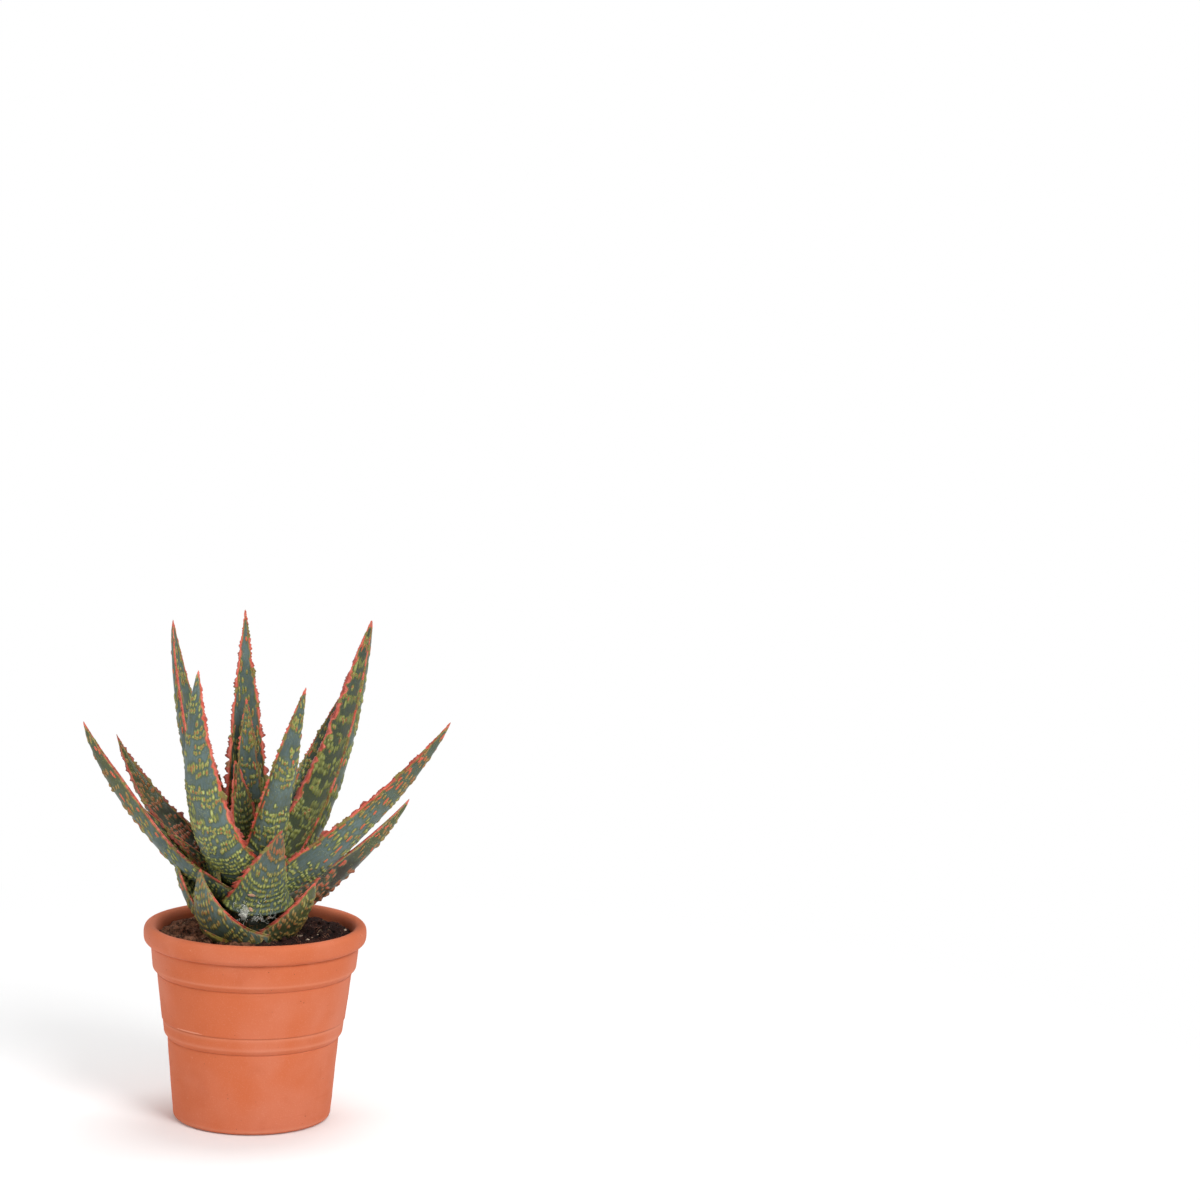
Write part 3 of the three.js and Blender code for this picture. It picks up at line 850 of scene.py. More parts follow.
@dataclass
class SoilBed:
    """The soil: a plug that fills the pot, with a lumpy top, crumbs, fibres and pale chips."""

    finish: PottingSoil = field(default_factory=PottingSoil)
    top: float = 113.4
    edge_radius: float = 59.0
    wall: tuple[Pair, ...] = ((0, 6.5), (43.5, 6.5), (51.1, 58), (56.7, 92))
    sides: int = 300
    rings: int = 78
    fibre_points: int = 8
    lumps: tuple[Swell, ...] = (Swell(1.8, 8.0, 11), Swell(1.1, 3.6, 12))
    crumbs: tuple[Swell, ...] = (Swell(0.6, 1.7, 13), Swell(0.4, 0.9, 14))
    lump_shift: float = 50.0

    def height(self, x: Array, y: Array) -> Array:
        """Height of the top: broad swells, round lumps and fine crumbs, calmer at the wall.

        Args:
            x: Place to the right, in millimetres.
            y: Place away from the viewer, in millimetres.

        Returns:
            Heights in millimetres.
        """
        swell = 1.2 * (np.sin(0.31 * x + 1.3) * np.cos(0.27 * y) + 0.6 * np.sin(0.53 * y - 0.21 * x))
        lumps = sum(lump.lumps(x + k * self.lump_shift, y) for k, lump in enumerate(self.lumps))
        crumbs = sum(crumb.waves(x, y) for crumb in self.crumbs)
        share = (self.edge_radius - np.hypot(x, y)) / self.edge_radius
        return self.top + (swell + lumps + crumbs) * np.minimum(1, 0.35 + 3 * share) - 1.4 * share

    def build(self) -> list[Piece]:
        """Builds the bed, then scatters crumbs, fibres and chips on it.

        Returns:
            The finished pieces.
        """
        outer = np.array([(self.edge_radius, self.top - 2.5)])
        rim = np.linspace(self.edge_radius - 0.3, 0, self.rings)[:, None]
        top = np.concatenate([rim, np.full_like(rim, self.top)], 1)
        points, squares, triangles = turned_grid(np.concatenate([self.wall, outer, top]), self.sides)
        high = points[:, 2] > self.top - 0.1
        points[high, 2] = self.height(points[high, 0], points[high, 1])
        bed = Builder("soil", ("soil",)).piece("soil_bed", (points, squares, triangles),
                                               self.finish.material())
        crumbs = self.pebbles("soil_crumbs", self.finish, count=760, sizes=(0.4, 2.2), seed=21)
        fibres = self.fibres()
        pale = Fibre("pale_chips", paint(150, 122, 100), paint(206, 188, 166))
        chips = self.pebbles("soil_chips", pale, count=46, sizes=(0.4, 1.3), seed=33, flat=0.5)
        return [bed, crumbs, *fibres, chips]

    def scatter(self, count: int, seed: int, out_to: float = 56.0) -> Grid:
        """Draws places on the bed, even over its area.

        Args:
            count: How many places.
            seed: Number of the random source.
            out_to: The largest radius.

        Returns:
            Places right, away and up, in millimetres.
        """
        source = np.random.default_rng(seed)
        radius, angle = out_to * np.sqrt(source.random(count)), source.random(count) * 2 * np.pi
        x, y = radius * np.cos(angle), radius * np.sin(angle)
        return x, y, self.height(x, y)

    def pebbles(self, name: str, finish: "PottingSoil | Fibre", count: int, sizes: Pair, seed: int,
                flat: float = 0.8) -> Piece:
        """Strews rough grains: a ball of 4 rings by 7 steps, each vertex moved in or out.

        Args:
            name: The piece's name.
            finish: What the grains are made of.
            count: How many grains.
            sizes: Smallest and largest radius, in millimetres.
            seed: Number of the random source.
            flat: Height of a grain as a share of its width.

        Returns:
            The finished piece.
        """
        source = np.random.default_rng(seed)
        grain, squares, triangles = ball(4, 7)
        size = lerp(*sizes, source.random(count) ** 2.5)[:, None, None]
        rough = 1 + 0.75 * (source.random((count, len(grain), 1)) - 0.5)
        stretch = 0.7 + 0.6 * source.random((count, 1, 3))
        grains = grain[None] * rough * stretch * size * np.array([1, 1, flat])
        spin = source.random(count) * 2 * np.pi
        turn = np.zeros((count, 3, 3))
        turn[:, 0, 0], turn[:, 0, 1] = np.cos(spin), -np.sin(spin)
        turn[:, 1, 0], turn[:, 1, 1], turn[:, 2, 2] = np.sin(spin), np.cos(spin), 1
        grains = np.einsum("nij,nkj->nki", turn, grains)
        x, y, z = self.scatter(count, seed + 1)
        grains += np.stack([x, y, z + 0.1 * size[:, 0, 0]], -1)[:, None]
        return Builder("soil").piece(name, copies(grains, squares, triangles), finish.material())

    def fibres(self) -> list[Piece]:
        """Thin curved strands of peat, brown and straw-coloured."""
        kinds = ((Fibre("brown_fibres", paint(86, 52, 40), paint(124, 82, 60)), 170, 41),
                 (Fibre("straw_fibres", paint(150, 124, 92), paint(190, 168, 132)), 36, 43))
        pieces = []
        for look, count, seed in kinds:
            source = np.random.default_rng(seed)
            x, y, _ = self.scatter(count, seed + 1, 53)
            heading, bend = source.random(count) * 2 * np.pi, source.normal(0, 0.9, count)
            step = (2.5 + 7 * source.random(count)[:, None] ** 2) / self.fibre_points
            t = np.linspace(0, 1, self.fibre_points)[None]
            turn = heading[:, None] + bend[:, None] * t
            px = x[:, None] + np.cumsum(np.cos(turn), 1) * step
            py = y[:, None] + np.cumsum(np.sin(turn), 1) * step
            lift = 0.25 + 1.5 * source.random(count)[:, None] * np.sin(np.pi * t)
            path = np.stack([px, py, self.height(px, py) + lift], -1)
            width = 0.10 + 0.16 * source.random(count)
            pieces.append(Builder("soil").piece(look.name, strands(path, width), look.material()))
        return pieces


def strands(paths: Array, widths: Array, sides: int = 4) -> Grid:
    """Carries a small ring along each of many paths, thinner at both ends and closed there.

    Args:
        paths: Points of each strand, as strand by point by three, in millimetres.
        widths: Radius of each strand, in millimetres.
        sides: Number of sides of the ring.

    Returns:
        Vertices, squares and triangles.
    """
    count, steps, _ = paths.shape
    along = np.gradient(paths, axis=1)
    along /= np.linalg.norm(along, axis=2, keepdims=True) + 1e-9
    across = np.cross(along, np.array([0.12, 0.2, 1.0]))
    across /= np.linalg.norm(across, axis=2, keepdims=True) + 1e-9
    above = np.cross(across, along)
    thin = np.sqrt(np.clip(np.sin(np.linspace(0.15, np.pi - 0.15, steps)), 0.05, 1))
    radius = widths[:, None] * thin[None]
    angle = np.arange(sides) / sides * 2 * np.pi
    ring = (across[:, :, None] * np.cos(angle)[:, None] + above[:, :, None] * np.sin(angle)[:, None])
    points = paths[:, :, None] + ring * radius[:, :, None, None]
    points = points.reshape(count, -1, 3)
    poles = np.stack([paths[:, 0] - along[:, 0] * widths[:, None] * 0.5,
                      paths[:, -1] + along[:, -1] * widths[:, None] * 0.5], 1)
    points = np.concatenate([points, poles], 1)
    return copies(points, *Faces(steps, sides).corners())


# The leaves


@dataclass(frozen=True)
class Spots:
    """How the raised spots of a leaf lie. Each pair is at the foot and on the open blade, in millimetres
    or as shares from 0 to 1.

    rows and columns are the pitches of their grid, long and wide their half sizes, and cover and core the
    shares of places that hold a spot and of spots with a coral core. gaps and groups say how many rows and
    clusters stay bare, sag is how far a row hangs at the margins, and shake how far the rows wander.
    foot_span is the length of the foot. olive dulls the spots and back narrows those on the back.
    """

    rows: Pair = (2.6, 3.8)
    columns: Pair = (1.6, 1.75)
    long: Pair = (0.95, 1.6)
    wide: Pair = (0.72, 0.86)
    cover: Pair = (0.96, 0.92)
    core: Pair = (0.12, 0.55)
    gaps: float = 0.2
    groups: float = 0.68
    sag: float = 2.0
    shake: float = 0.45
    foot_span: float = 55.0
    olive: float = 0.0
    back: float = 1.0


class Pattern(Enum):
    """The kinds of spotting seen on the leaves."""

    BANDED = Spots()
    DENSE = Spots(rows=(3.2, 4.5), columns=(1.55, 1.7), long=(1.1, 1.65), wide=(0.66, 0.76),
                  cover=(0.96, 0.93), core=(0.15, 0.45), gaps=0.1, groups=0.9, sag=3.0, shake=0.28,
                  foot_span=40.0)
    STREAKED = Spots(rows=(2.6, 5.4), columns=(1.65, 2.1), long=(0.9, 2.2), wide=(0.7, 0.72),
                     cover=(0.92, 0.85), core=(0.2, 0.8), groups=0.6)
    BLOTCHED = Spots(rows=(2.8, 4.0), columns=(1.9, 2.1), long=(1.2, 2.3), wide=(0.9, 1.3),
                     cover=(0.92, 0.95), core=(0.05, 0.2), groups=0.6, olive=0.65, back=0.72)
    BARE = Spots(cover=(0.1, 0.08), core=(0.0, 0.0))


@dataclass(frozen=True)
class Teeth:
    """How the teeth of one margin stand, in millimetres. plateau is the flat share of a tooth, and hook is
    1 for points that look to the tip and -1 to the foot. coral is the share of the margin that is coral,
    where the rest is olive, and band is how far in from the margin that colour reaches."""

    pitch: float = 3.0
    reach: float = 1.3
    plateau: float = 0.1
    hook: float = 1.0
    coral: float = 0.5
    band: float = 0.5


class Margin(Enum):
    """The kinds of margin seen on the leaves."""

    FINE = Teeth(3.3, 1.8, 0.25, 1.0, 0.48, 0.3)
    KNOBBY = Teeth(3.0, 2.4, 0.3, 1.0, 0.6, 0.35)
    SAW = Teeth(4.2, 3.5, 0.3, -1.0, 0.82, 0.6)
    PLATES = Teeth(6.5, 2.6, 0.7, 1.0, 0.74, 0.8)
    BROAD = Teeth(8.5, 3.0, 0.75, 1.0, 0.85, 2.1)
    RAGGED = Teeth(5.2, 3.6, 0.5, 1.0, 0.66, 0.3)
    CLUMPED = Teeth(7.5, 5.4, 0.45, 1.0, 0.72, 0.6)
    FLAGS = Teeth(6.0, 3.4, 0.5, -1.0, 0.85, 1.2)
    PLAIN = Teeth(4.0, 0.3, 0.3, 1.0, -0.5, 0.5)


@dataclass(frozen=True)
class LeafPlan:
    """One leaf's place, form and dress. Lengths are in millimetres and angles in degrees.

    azimuth is its heading, seat the height of its foot, and reach the foot's distance from the stem's
    axis. lean is from upright, at the foot, middle and tip, and size is length, width and thickness. turn
    swings the heading towards the tip, tuck pulls the foot inwards, twist turns the whole leaf about its
    own length and spin adds to that past the middle. taper is the power of its outline.

    margins are the left and the right one, seen from inside the rosette. dusk and green are the shares of
    brown and moss colour at the foot and the tip, and pale is the share of the painted shade on the inner
    face that is left out. streaks is the share of coral streaks, which run keel millimetres off the middle.
    fineness scales the grid's density.
    """

    node: str
    azimuth: float
    seat: float
    reach: float
    lean: Triple
    size: Triple
    turn: float = 0.0
    taper: float = 0.88
    pattern: Pattern = Pattern.BANDED
    margins: tuple[Margin, Margin] = (Margin.FINE, Margin.FINE)
    streaks: float = 0.35
    dusk: Pair = (0.0, 0.0)
    tuck: float = 0.0
    pale: float = 0.0
    twist: float = 0.0
    keel: float = 0.0
    spin: float = 0.0
    green: Pair = (0.0, 0.0)
    fineness: float = 1.0


class Draw(IntEnum):
    """What a leaf draws by chance. Each number is added to the leaf's own seed."""

    WAVE = 5
    BARE_ROW = 9
    BARE_GROUP = 11
    NOTCH = 40
    CORAL = 50
    BAND = 51
    OUTLINE = 55
    SWELL = 60
    HEIGHT = 61
    TIP = 62
    KEEL_STREAK = 71
    MARGIN_STREAK = 83


@dataclass
class LeafSurface:
    """A leaf as a surface of two shares: u from foot to tip, and a column that runs round the section.
    face_arc and back_arc are how long the two faces run across, as shares of the width."""

    plan: LeafPlan
    seed: int
    stem_x: float = -3.0
    step_along: float = 0.72
    step_across: float = 0.64
    face_arc: float = 1.15
    back_arc: float = 1.3
    spine_steps: int = 60
    bow: float = 0.35
    clasp: float = 0.25
    hollow: float = 0.3
    foot_hollow: float = 0.2
    knob_pitch: float = 1.7
    margin_free: float = 0.9
    streak_width: float = 0.64
    streak_inset: float = 2.3
    keel_pitch: float = 10.5
    margin_pitch: float = 9.0
    margin_share: float = 0.7
    no_spot: float = 3.0
    map_size: float = 40.0

    def __post_init__(self) -> None:
        """Lays out the rows and the section's columns."""
        self.length, width, _ = self.plan.size
        fine = self.plan.fineness
        rows = max(24, int(self.length / self.step_along * fine))
        self.u = np.linspace(0, 1, rows + 1)[:-1]
        self.place = self.u * self.length
        self.face_columns = max(14, int(width * self.face_arc / self.step_across * fine))
        self.back_columns = max(16, int(width * self.back_arc / self.step_across * fine))

    def spine(self, u: Array) -> tuple[Array, Array, Array, Array]:
        """The centre line. It leans from upright by (1-u)^2 foot + 2u(1-u) middle + u^2 tip, and heads
        towards azimuth + turn * u, in equal straight steps.

        Args:
            u: Shares of the length.

        Returns:
            The points, and the directions along, across and inwards.
        """
        plan = self.plan
        share = np.linspace(0, 1, self.spine_steps + 1)
        foot, middle, tip = np.radians(plan.lean)
        lean = (1 - share) ** 2 * foot + 2 * share * (1 - share) * middle + share ** 2 * tip
        swing = math.radians(plan.azimuth) + math.radians(plan.turn) * share
        along = np.stack([np.sin(lean) * np.cos(swing), np.sin(lean) * np.sin(swing), np.cos(lean)], -1)
        across = np.stack([-np.sin(swing), np.cos(swing), 0 * swing], -1)
        twist = np.radians(plan.twist + plan.spin * smoothstep(0.3, 0.8, share))[:, None]
        across = across * np.cos(twist) + np.cross(along, across) * np.sin(twist)
        heading = math.radians(plan.azimuth)
        start = np.array([self.stem_x + plan.reach * math.cos(heading), plan.reach * math.sin(heading),
                          plan.seat])
        walk = np.cumsum(along[:-1], 0) * self.length / self.spine_steps
        point = start + np.concatenate([np.zeros((1, 3)), walk])
        curves = [np.stack([np.interp(u, share, curve[:, k]) for k in range(3)], -1)
                  for curve in (point, along, across)]
        return (*curves, np.cross(curves[1], curves[2]))

    def half_width(self, u: Array) -> Array:
        """Half the width: width / 2 * (1 + clasp at the foot) * (1-u)^taper * (1 + bow u)."""
        clasp = 1 + self.clasp * np.maximum(0, 1 - u / 0.2) ** 2
        return self.plan.size[1] / 2 * clasp * (1 - u) ** self.plan.taper * (1 + self.bow * u)

    def channel(self, u: Array) -> Array:
        """Depth of the inner face's hollow: half width * (hollow + more at the foot) * (1 - 0.4 u)."""
        share = self.hollow + self.foot_hollow * np.maximum(0, 1 - u / 0.3) ** 2
        return self.half_width(u) * share * (1 - 0.4 * u)

    def thickness(self, u: Array) -> Array:
        """Thickness at the middle: thick * (1-u)^0.6 * a rise from 0.55 at the foot to 1."""
        return self.plan.size[2] * (1 - u) ** 0.6 * lerp(0.55, 1, np.minimum(1, u / 0.22))

    def teeth(self, side: int) -> Array:
        """How far a margin stands out at each row: the tallest of its teeth there, each a ramp up, a flat
        and a ramp down with fine notches, plus the small round knobs h * sqrt(1 - (d / half)^2) on them.

        Args:
            side: 0 for the left margin seen from inside the rosette, 1 for the right.

        Returns:
            Reach in millimetres at each row.
        """
        style: Teeth = self.plan.margins[side].value
        source = np.random.default_rng(self.seed * 7 + side)
        count = int(self.length / style.pitch) + 2
        middle = (np.arange(count) + 0.9 * source.random(count)) * style.pitch
        height = 0.35 + 0.65 * source.random(count)
        flat = style.plateau * style.pitch * (0.5 + source.random(count)) / 2
        gentle = np.minimum(style.pitch, 4.5) * (0.3 + 0.35 * source.random(count))
        steep = 0.1 * style.pitch * (1 - style.plateau) + 0.25
        away = (self.place[:, None] - middle) * style.hook
        slope = np.maximum((-away - flat) / gentle, (away - flat) / steep)
        tooth = np.clip(1 - np.maximum(slope, 0), 0, 1) * height
        notch = 1 + 0.3 * noise(self.place, side, 1.3, self.seed + Draw.NOTCH)

        knobs = int(self.length / self.knob_pitch) + 1
        centre = (np.arange(knobs) + 0.8 * source.random(knobs)) * self.knob_pitch
        knob = 1 - ((self.place[:, None] - centre) / lerp(0.4, 0.85, source.random(knobs))) ** 2
        knob = np.sqrt(np.clip(knob, 0, 1)) * lerp(0.2, 1.2, source.random(knobs) ** 1.2)
        small = np.minimum(1, 6 * self.u + 0.1) * np.minimum(1, 0.3 + 3.5 * (1 - self.u))
        bold = style.reach * (1 - 0.5 * smoothstep(0.35, 0.7, self.u))
        return small * (np.maximum(bold * tooth.max(1) * notch, 0.1) + knob.max(1))

    def coral(self, side: int) -> tuple[Array, Array]:
        """How coral a margin is at each row, as patches of smooth noise about 9 mm long past a threshold,
        and how far in its colour reaches, as noise about 5 mm long.

        Args:
            side: 0 for the left margin seen from inside the rosette, 1 for the right.

        Returns:
            Shares from 0 to 1, and distances in millimetres.
        """
        style: Teeth = self.plan.margins[side].value
        patch = noise(self.place, 7 * side, 4.5, self.seed + Draw.CORAL)
        share = smoothstep(-0.2, 0.2, patch + 1.6 * style.coral - 0.8) * smoothstep(0.02, 0.1, self.u)
        reach = style.band * (1 + 0.8 * noise(self.place, 7 * side, 2.4, self.seed + Draw.BAND))
        return share[:, None], (reach * np.minimum(1, 5 * (1 - self.u)))[:, None]

    def section(self) -> dict[str, Array]:
        """The section at each row, from the left edge over the inner face to the right and back under.
        The face's height is -channel * (1 - s^2) and the back's -(channel + thickness) * sqrt(1 - s^2).

        Returns:
            Arrays of rows by columns: across, above, out, which is how far a tooth stands out, and inward,
            which is 1 on the inner face.
        """
        u = self.u[:, None]
        uneven = noise(self.place[:, None], 0, 9, self.seed + Draw.OUTLINE) * np.minimum(1, 4 * (1 - u))
        half, depth, thick = self.half_width(u) + 0.35 * uneven, self.channel(u), self.thickness(u)
        edge = 0.5 * np.minimum(1, 0.25 + 3 * (1 - u))
        s = np.linspace(-1, 1, self.face_columns)[None]
        turn = np.linspace(np.pi / 2, -np.pi / 2, self.back_columns)[None]
        right, left = (self.fin(side, sign, half, edge) for side, sign in ((1, 1.0), (0, -1.0)))
        parts = ((half * s, -depth * (1 - s * s) + edge * smoothstep(0.86, 1, np.abs(s)), 0 * half * s),
                 right,
                 (half * np.sin(turn), -edge - (depth + thick - edge) * np.cos(turn), 0 * half * turn),
                 left)
        across, above, out = (np.concatenate(rows, 1) for rows in zip(*parts))
        inward = np.broadcast_to(np.arange(across.shape[1]) < self.face_columns, across.shape)
        return {"across": across, "above": above, "out": out, "inward": inward.astype(float)}

    def fin(self, side: int, sign: float, half: Array, edge: Array) -> Grid:
        """The three columns of vertices that a margin's teeth are drawn out of.

        Args:
            side: 0 for the left margin seen from inside the rosette, 1 for the right.
            sign: Which way it stands out.
            half: Half the leaf's width at each row.
            edge: Half the margin's thickness at each row.

        Returns:
            Places across and above, and how far they stand out.
        """
        out = self.teeth(side)[:, None] * np.array([[0.5, 1.0, 0.5]])
        return sign * (half + out), edge * np.array([[0.55, 0.0, -0.55]]), out

    def points(self, across: Array, above: Array) -> Array:
        """Carries the section along the spine."""
        point, _, side, inner = self.spine(self.u)
        point = point + inner * (self.plan.tuck * np.maximum(0, 1 - self.u / 0.35) ** 2)[:, None]
        return point[:, None] + across[..., None] * side[:, None] + above[..., None] * inner[:, None]

    def spots(self, arc: Array, edge: Array, inward: Array) -> tuple[Array, Array]:
        """Distance to the nearest spot or streak, in spots. Spots lie in a shaken grid of rows that sag
        towards the margins, and the distance is sqrt((da / wide)^2 + (dl / long)^2).

        Args:
            arc: Place across the face, in millimetres from its middle.
            edge: How far the margin is, in millimetres.
            inward: 1 on the inner face and 0 on the back.

        Returns:
            The distance, 1 at the edge of a spot, and the size of the coral core, or below 0 how olive
            a spot without one is.
        """
        style: Spots = self.plan.pattern.value
        grow = smoothstep(0, style.foot_span, self.place)[:, None]
        row_pitch, column_pitch = lerp(*style.rows, grow), lerp(*style.columns, grow)
        line = np.concatenate([[0], np.cumsum(np.diff(self.place) / row_pitch[1:, 0])])[:, None]
        half = np.maximum(self.half_width(self.u)[:, None], 1)
        wave = 1.2 * style.shake * noise(arc, self.place[:, None], 9, self.seed + Draw.WAVE)
        v, c = line - style.sag * (arc / half) ** 2 / row_pitch + wave, arc / column_pitch
        face = inward.astype(int)
        cover = lerp(*style.cover, grow)
        broad = np.where(inward > 0.5, 1.0, style.back)
        red = lerp(*style.core, grow) + 0.45 * smoothstep(0.35, 0.8, self.u)[:, None]
        best, core = np.full(arc.shape, self.no_spot), np.zeros(arc.shape)
        for dv, dc in product((-1, 0, 1), repeat=2):
            row = np.floor(v).astype(int) + dv
            shift = hashed(self.seed, row, face)
            column = np.floor(c + shift).astype(int) + dc
            pick = [hashed(self.seed + k, row, column, face) for k in range(1, 7)]
            group = np.floor((column + 5 * shift) / 3).astype(int)
            bare = hashed(self.seed + Draw.BARE_ROW, row, face) < style.gaps * grow
            bare |= (hashed(self.seed + Draw.BARE_GROUP, row, group, face)
                     > lerp(1.0, style.groups, grow))
            there = (pick[0] < np.where(bare, cover * 0.12, cover)) & (edge > self.margin_free)
            long = lerp(*style.long, grow) * lerp(0.65, 1.3, pick[1])
            wide = lerp(*style.wide, grow) * lerp(0.7, 1.2, pick[2]) * broad
            dl = (v - row - 0.5 - style.shake * (pick[3] - 0.5)) * row_pitch
            da = (c + shift - column - lerp(0.25, 0.75, pick[4])) * column_pitch
            away = np.where(there, np.sqrt((da / wide) ** 2 + (dl / long) ** 2), self.no_spot)
            kind = np.where(pick[5] < red, lerp(0.3, 0.66, pick[5] / red),
                            -lerp(style.olive, 1, pick[0] / cover))
            best, core = np.minimum(best, away), np.where(away < best, kind, core)
        return self.streaked(best, core, arc, edge, inward)

    def streaked(self, best: Array, core: Array, arc: Array, edge: Array,
                 inward: Array) -> tuple[Array, Array]:
        """Adds long coral streaks along the keel and just inside both margins of the back.

        Args:
            best: Distance to the nearest spot.
            core: Size of the coral core there.
            arc: Place across the face.
            edge: How far the margin is.
            inward: 1 on the inner face and 0 on the back.

        Returns:
            The distance and the core size with the streaks.
        """
        place, streaks = self.place[:, None], self.plan.streaks
        lines = ((arc - self.plan.keel, self.keel_pitch, streaks, Draw.KEEL_STREAK),
                 (edge - self.streak_inset, self.margin_pitch, streaks * self.margin_share,
                  Draw.MARGIN_STREAK))
        for k, (off, pitch, cover, draw) in enumerate(lines):
            cell = np.floor(place / pitch).astype(int)
            side = (arc > 0).astype(int) * k
            pick = [hashed(self.seed + draw + n, cell, side) for n in range(3)]
            middle = (cell + 0.5 + 0.2 * (pick[0] - 0.5)) * pitch
            half = pitch * lerp(0.15, 0.36, pick[1])
            off = (off + 0.5 * noise(place, k, 4, self.seed + draw)) / self.streak_width
            away = np.sqrt(off ** 2 + np.abs((place - middle) / half) ** 5)
            blade = smoothstep(0.12, 0.3, self.u)[:, None] * (inward < 0.5 if k == 0 else 1)
            there = (pick[2] < cover * blade) & (self.u < 0.97)[:, None]
            away = np.where(there, away, self.no_spot)
            best, core = np.minimum(best, away), np.where(away < best, 1.0, core)
        return best, core

    def build(self, material: Material, young: bool = False) -> Piece:
        """Builds the leaf with its relief and its fields.

        Args:
            material: The skin that all leaves share.
            young: True for a leaf of the bud, which stands for no node.

        Returns:
            The finished piece.
        """
        shape = self.section()
        points = self.points(shape["across"], shape["above"])
        arc, edge = self.arcs(points)
        inward, fin = shape["inward"], shape["out"] > 0
        spot, core = self.spots(arc, edge, inward)
        spot, core = np.where(fin, self.no_spot, spot), np.where(fin, 0.0, core)
        raised = np.where(fin, 0, self.relief(spot, arc, edge, inward))
        points = points + self.normals(points) * raised[..., None]

        place, ahead = self.place[:, None], self.u[:, None]
        tip = smoothstep(0.955, 0.99, ahead + 0.02 * noise(arc, place, 2.0, self.seed + Draw.TIP))
        coral, band = (np.where(shape["across"] > 0, right, left)
                       for left, right in zip(self.coral(0), self.coral(1)))
        rim = np.where(fin, -shape["out"], edge) - band
        blade = smoothstep(0.3, 0.75, ahead)
        plan = self.plan
        fields = {"spot": (spot, (3, 3)), "blush": (core, (0, 0)),
                  "edge": (np.maximum(coral, tip), (0, 1)), "rim": (lerp(rim, -1.0, tip), (5, -1)),
                  "dusk": (lerp(*plan.dusk, blade), plan.dusk),
                  "green": (lerp(*plan.green, blade), plan.green),
                  # inward carries the inner face's painted shade, less by the plan's pale share
                  "inward": (inward * (1 - plan.pale), (0, 0))}
        fields = {key: np.concatenate([np.broadcast_to(values, arc.shape).ravel(), ends])
                  for key, (values, ends) in fields.items()}
        uv = np.stack(np.broadcast_arrays(arc / self.map_size + 3 * inward, place / self.map_size), -1)
        uv = np.concatenate([uv.reshape(-1, 2), [[0, 0], [0, self.length / self.map_size]]])
        points = np.concatenate([points.reshape(-1, 3), points[:1].mean(1), self.spine(np.array([1.0]))[0]])
        grid = (points, *Faces(*arc.shape).corners())
        builder = Builder("leaf", () if young else (plan.node,))
        return builder.piece(f"{plan.node}_skin", grid, material, fields, uv)

    def relief(self, spot: Array, arc: Array, edge: Array, inward: Array) -> Array:
        """How far the skin stands out: domes 1 - d^2 on the spots, taller on the keel, over a faint swell.

        Args:
            spot: Distance to the nearest spot, in spots.
            arc: Place across the face, in millimetres from its middle.
            edge: How far the margin is, in millimetres.
            inward: 1 on the inner face and 0 on the back.

        Returns:
            Heights in millimetres.
        """
        place = self.place[:, None]
        skin = 0.12 * noise(arc, place, 5, self.seed + Draw.SWELL)
        tall = 0.6 + 0.3 * noise(arc, place, 2.4, self.seed + Draw.HEIGHT)
        keel = np.exp(-(arc / 1.6) ** 2) * (inward < 0.5)
        tall = tall * (1 + 0.9 * keel) * np.minimum(1, 4 * (1 - self.u[:, None]))
        return np.minimum(1, edge / 1.2) * (tall * np.clip(1 - spot ** 2, 0, 1) + skin)

    def arcs(self, points: Array) -> tuple[Array, Array]:
        """Measures along the section at each row.

        Args:
            points: The section's vertices.

        Returns:
            The distance from the middle of each face, and the distance from the nearer margin.
        """
        gap = np.linalg.norm(np.diff(points, axis=1), axis=2)
        run = np.concatenate([np.zeros((len(points), 1)), np.cumsum(gap, 1)], 1)
        first, last = self.face_columns - 1, self.face_columns + 3
        end = last + self.back_columns - 1
        middle_face = run[:, first:first + 1] / 2
        middle_back = (run[:, last:last + 1] + run[:, end:end + 1]) / 2
        column = np.arange(points.shape[1])[None]
        face = column <= first
        arc = np.where(face, run - middle_face, middle_back - run)
        width = np.where(face, middle_face, (run[:, end:end + 1] - run[:, last:last + 1]) / 2)
        return arc, np.maximum(width - np.abs(arc), 0)

    @staticmethod
    def normals(points: Array) -> Array:
        """Outward directions of the surface, from the steps along and round it."""
        along = np.gradient(points, axis=0)
        round_ = np.roll(points, -1, 1) - np.roll(points, 1, 1)
        normal = np.cross(along, round_)
        return normal / (np.linalg.norm(normal, axis=2, keepdims=True) + 1e-12)


@dataclass(frozen=True)
class Tangle:
    """A loose heap of strands: how many, where across and along the host, how far it spreads both ways,
    the strands' length in millimetres, and how much they curl."""

    count: int
    across: float
    along: float
    wide: float
    tall: float
    length: float
    curl: float


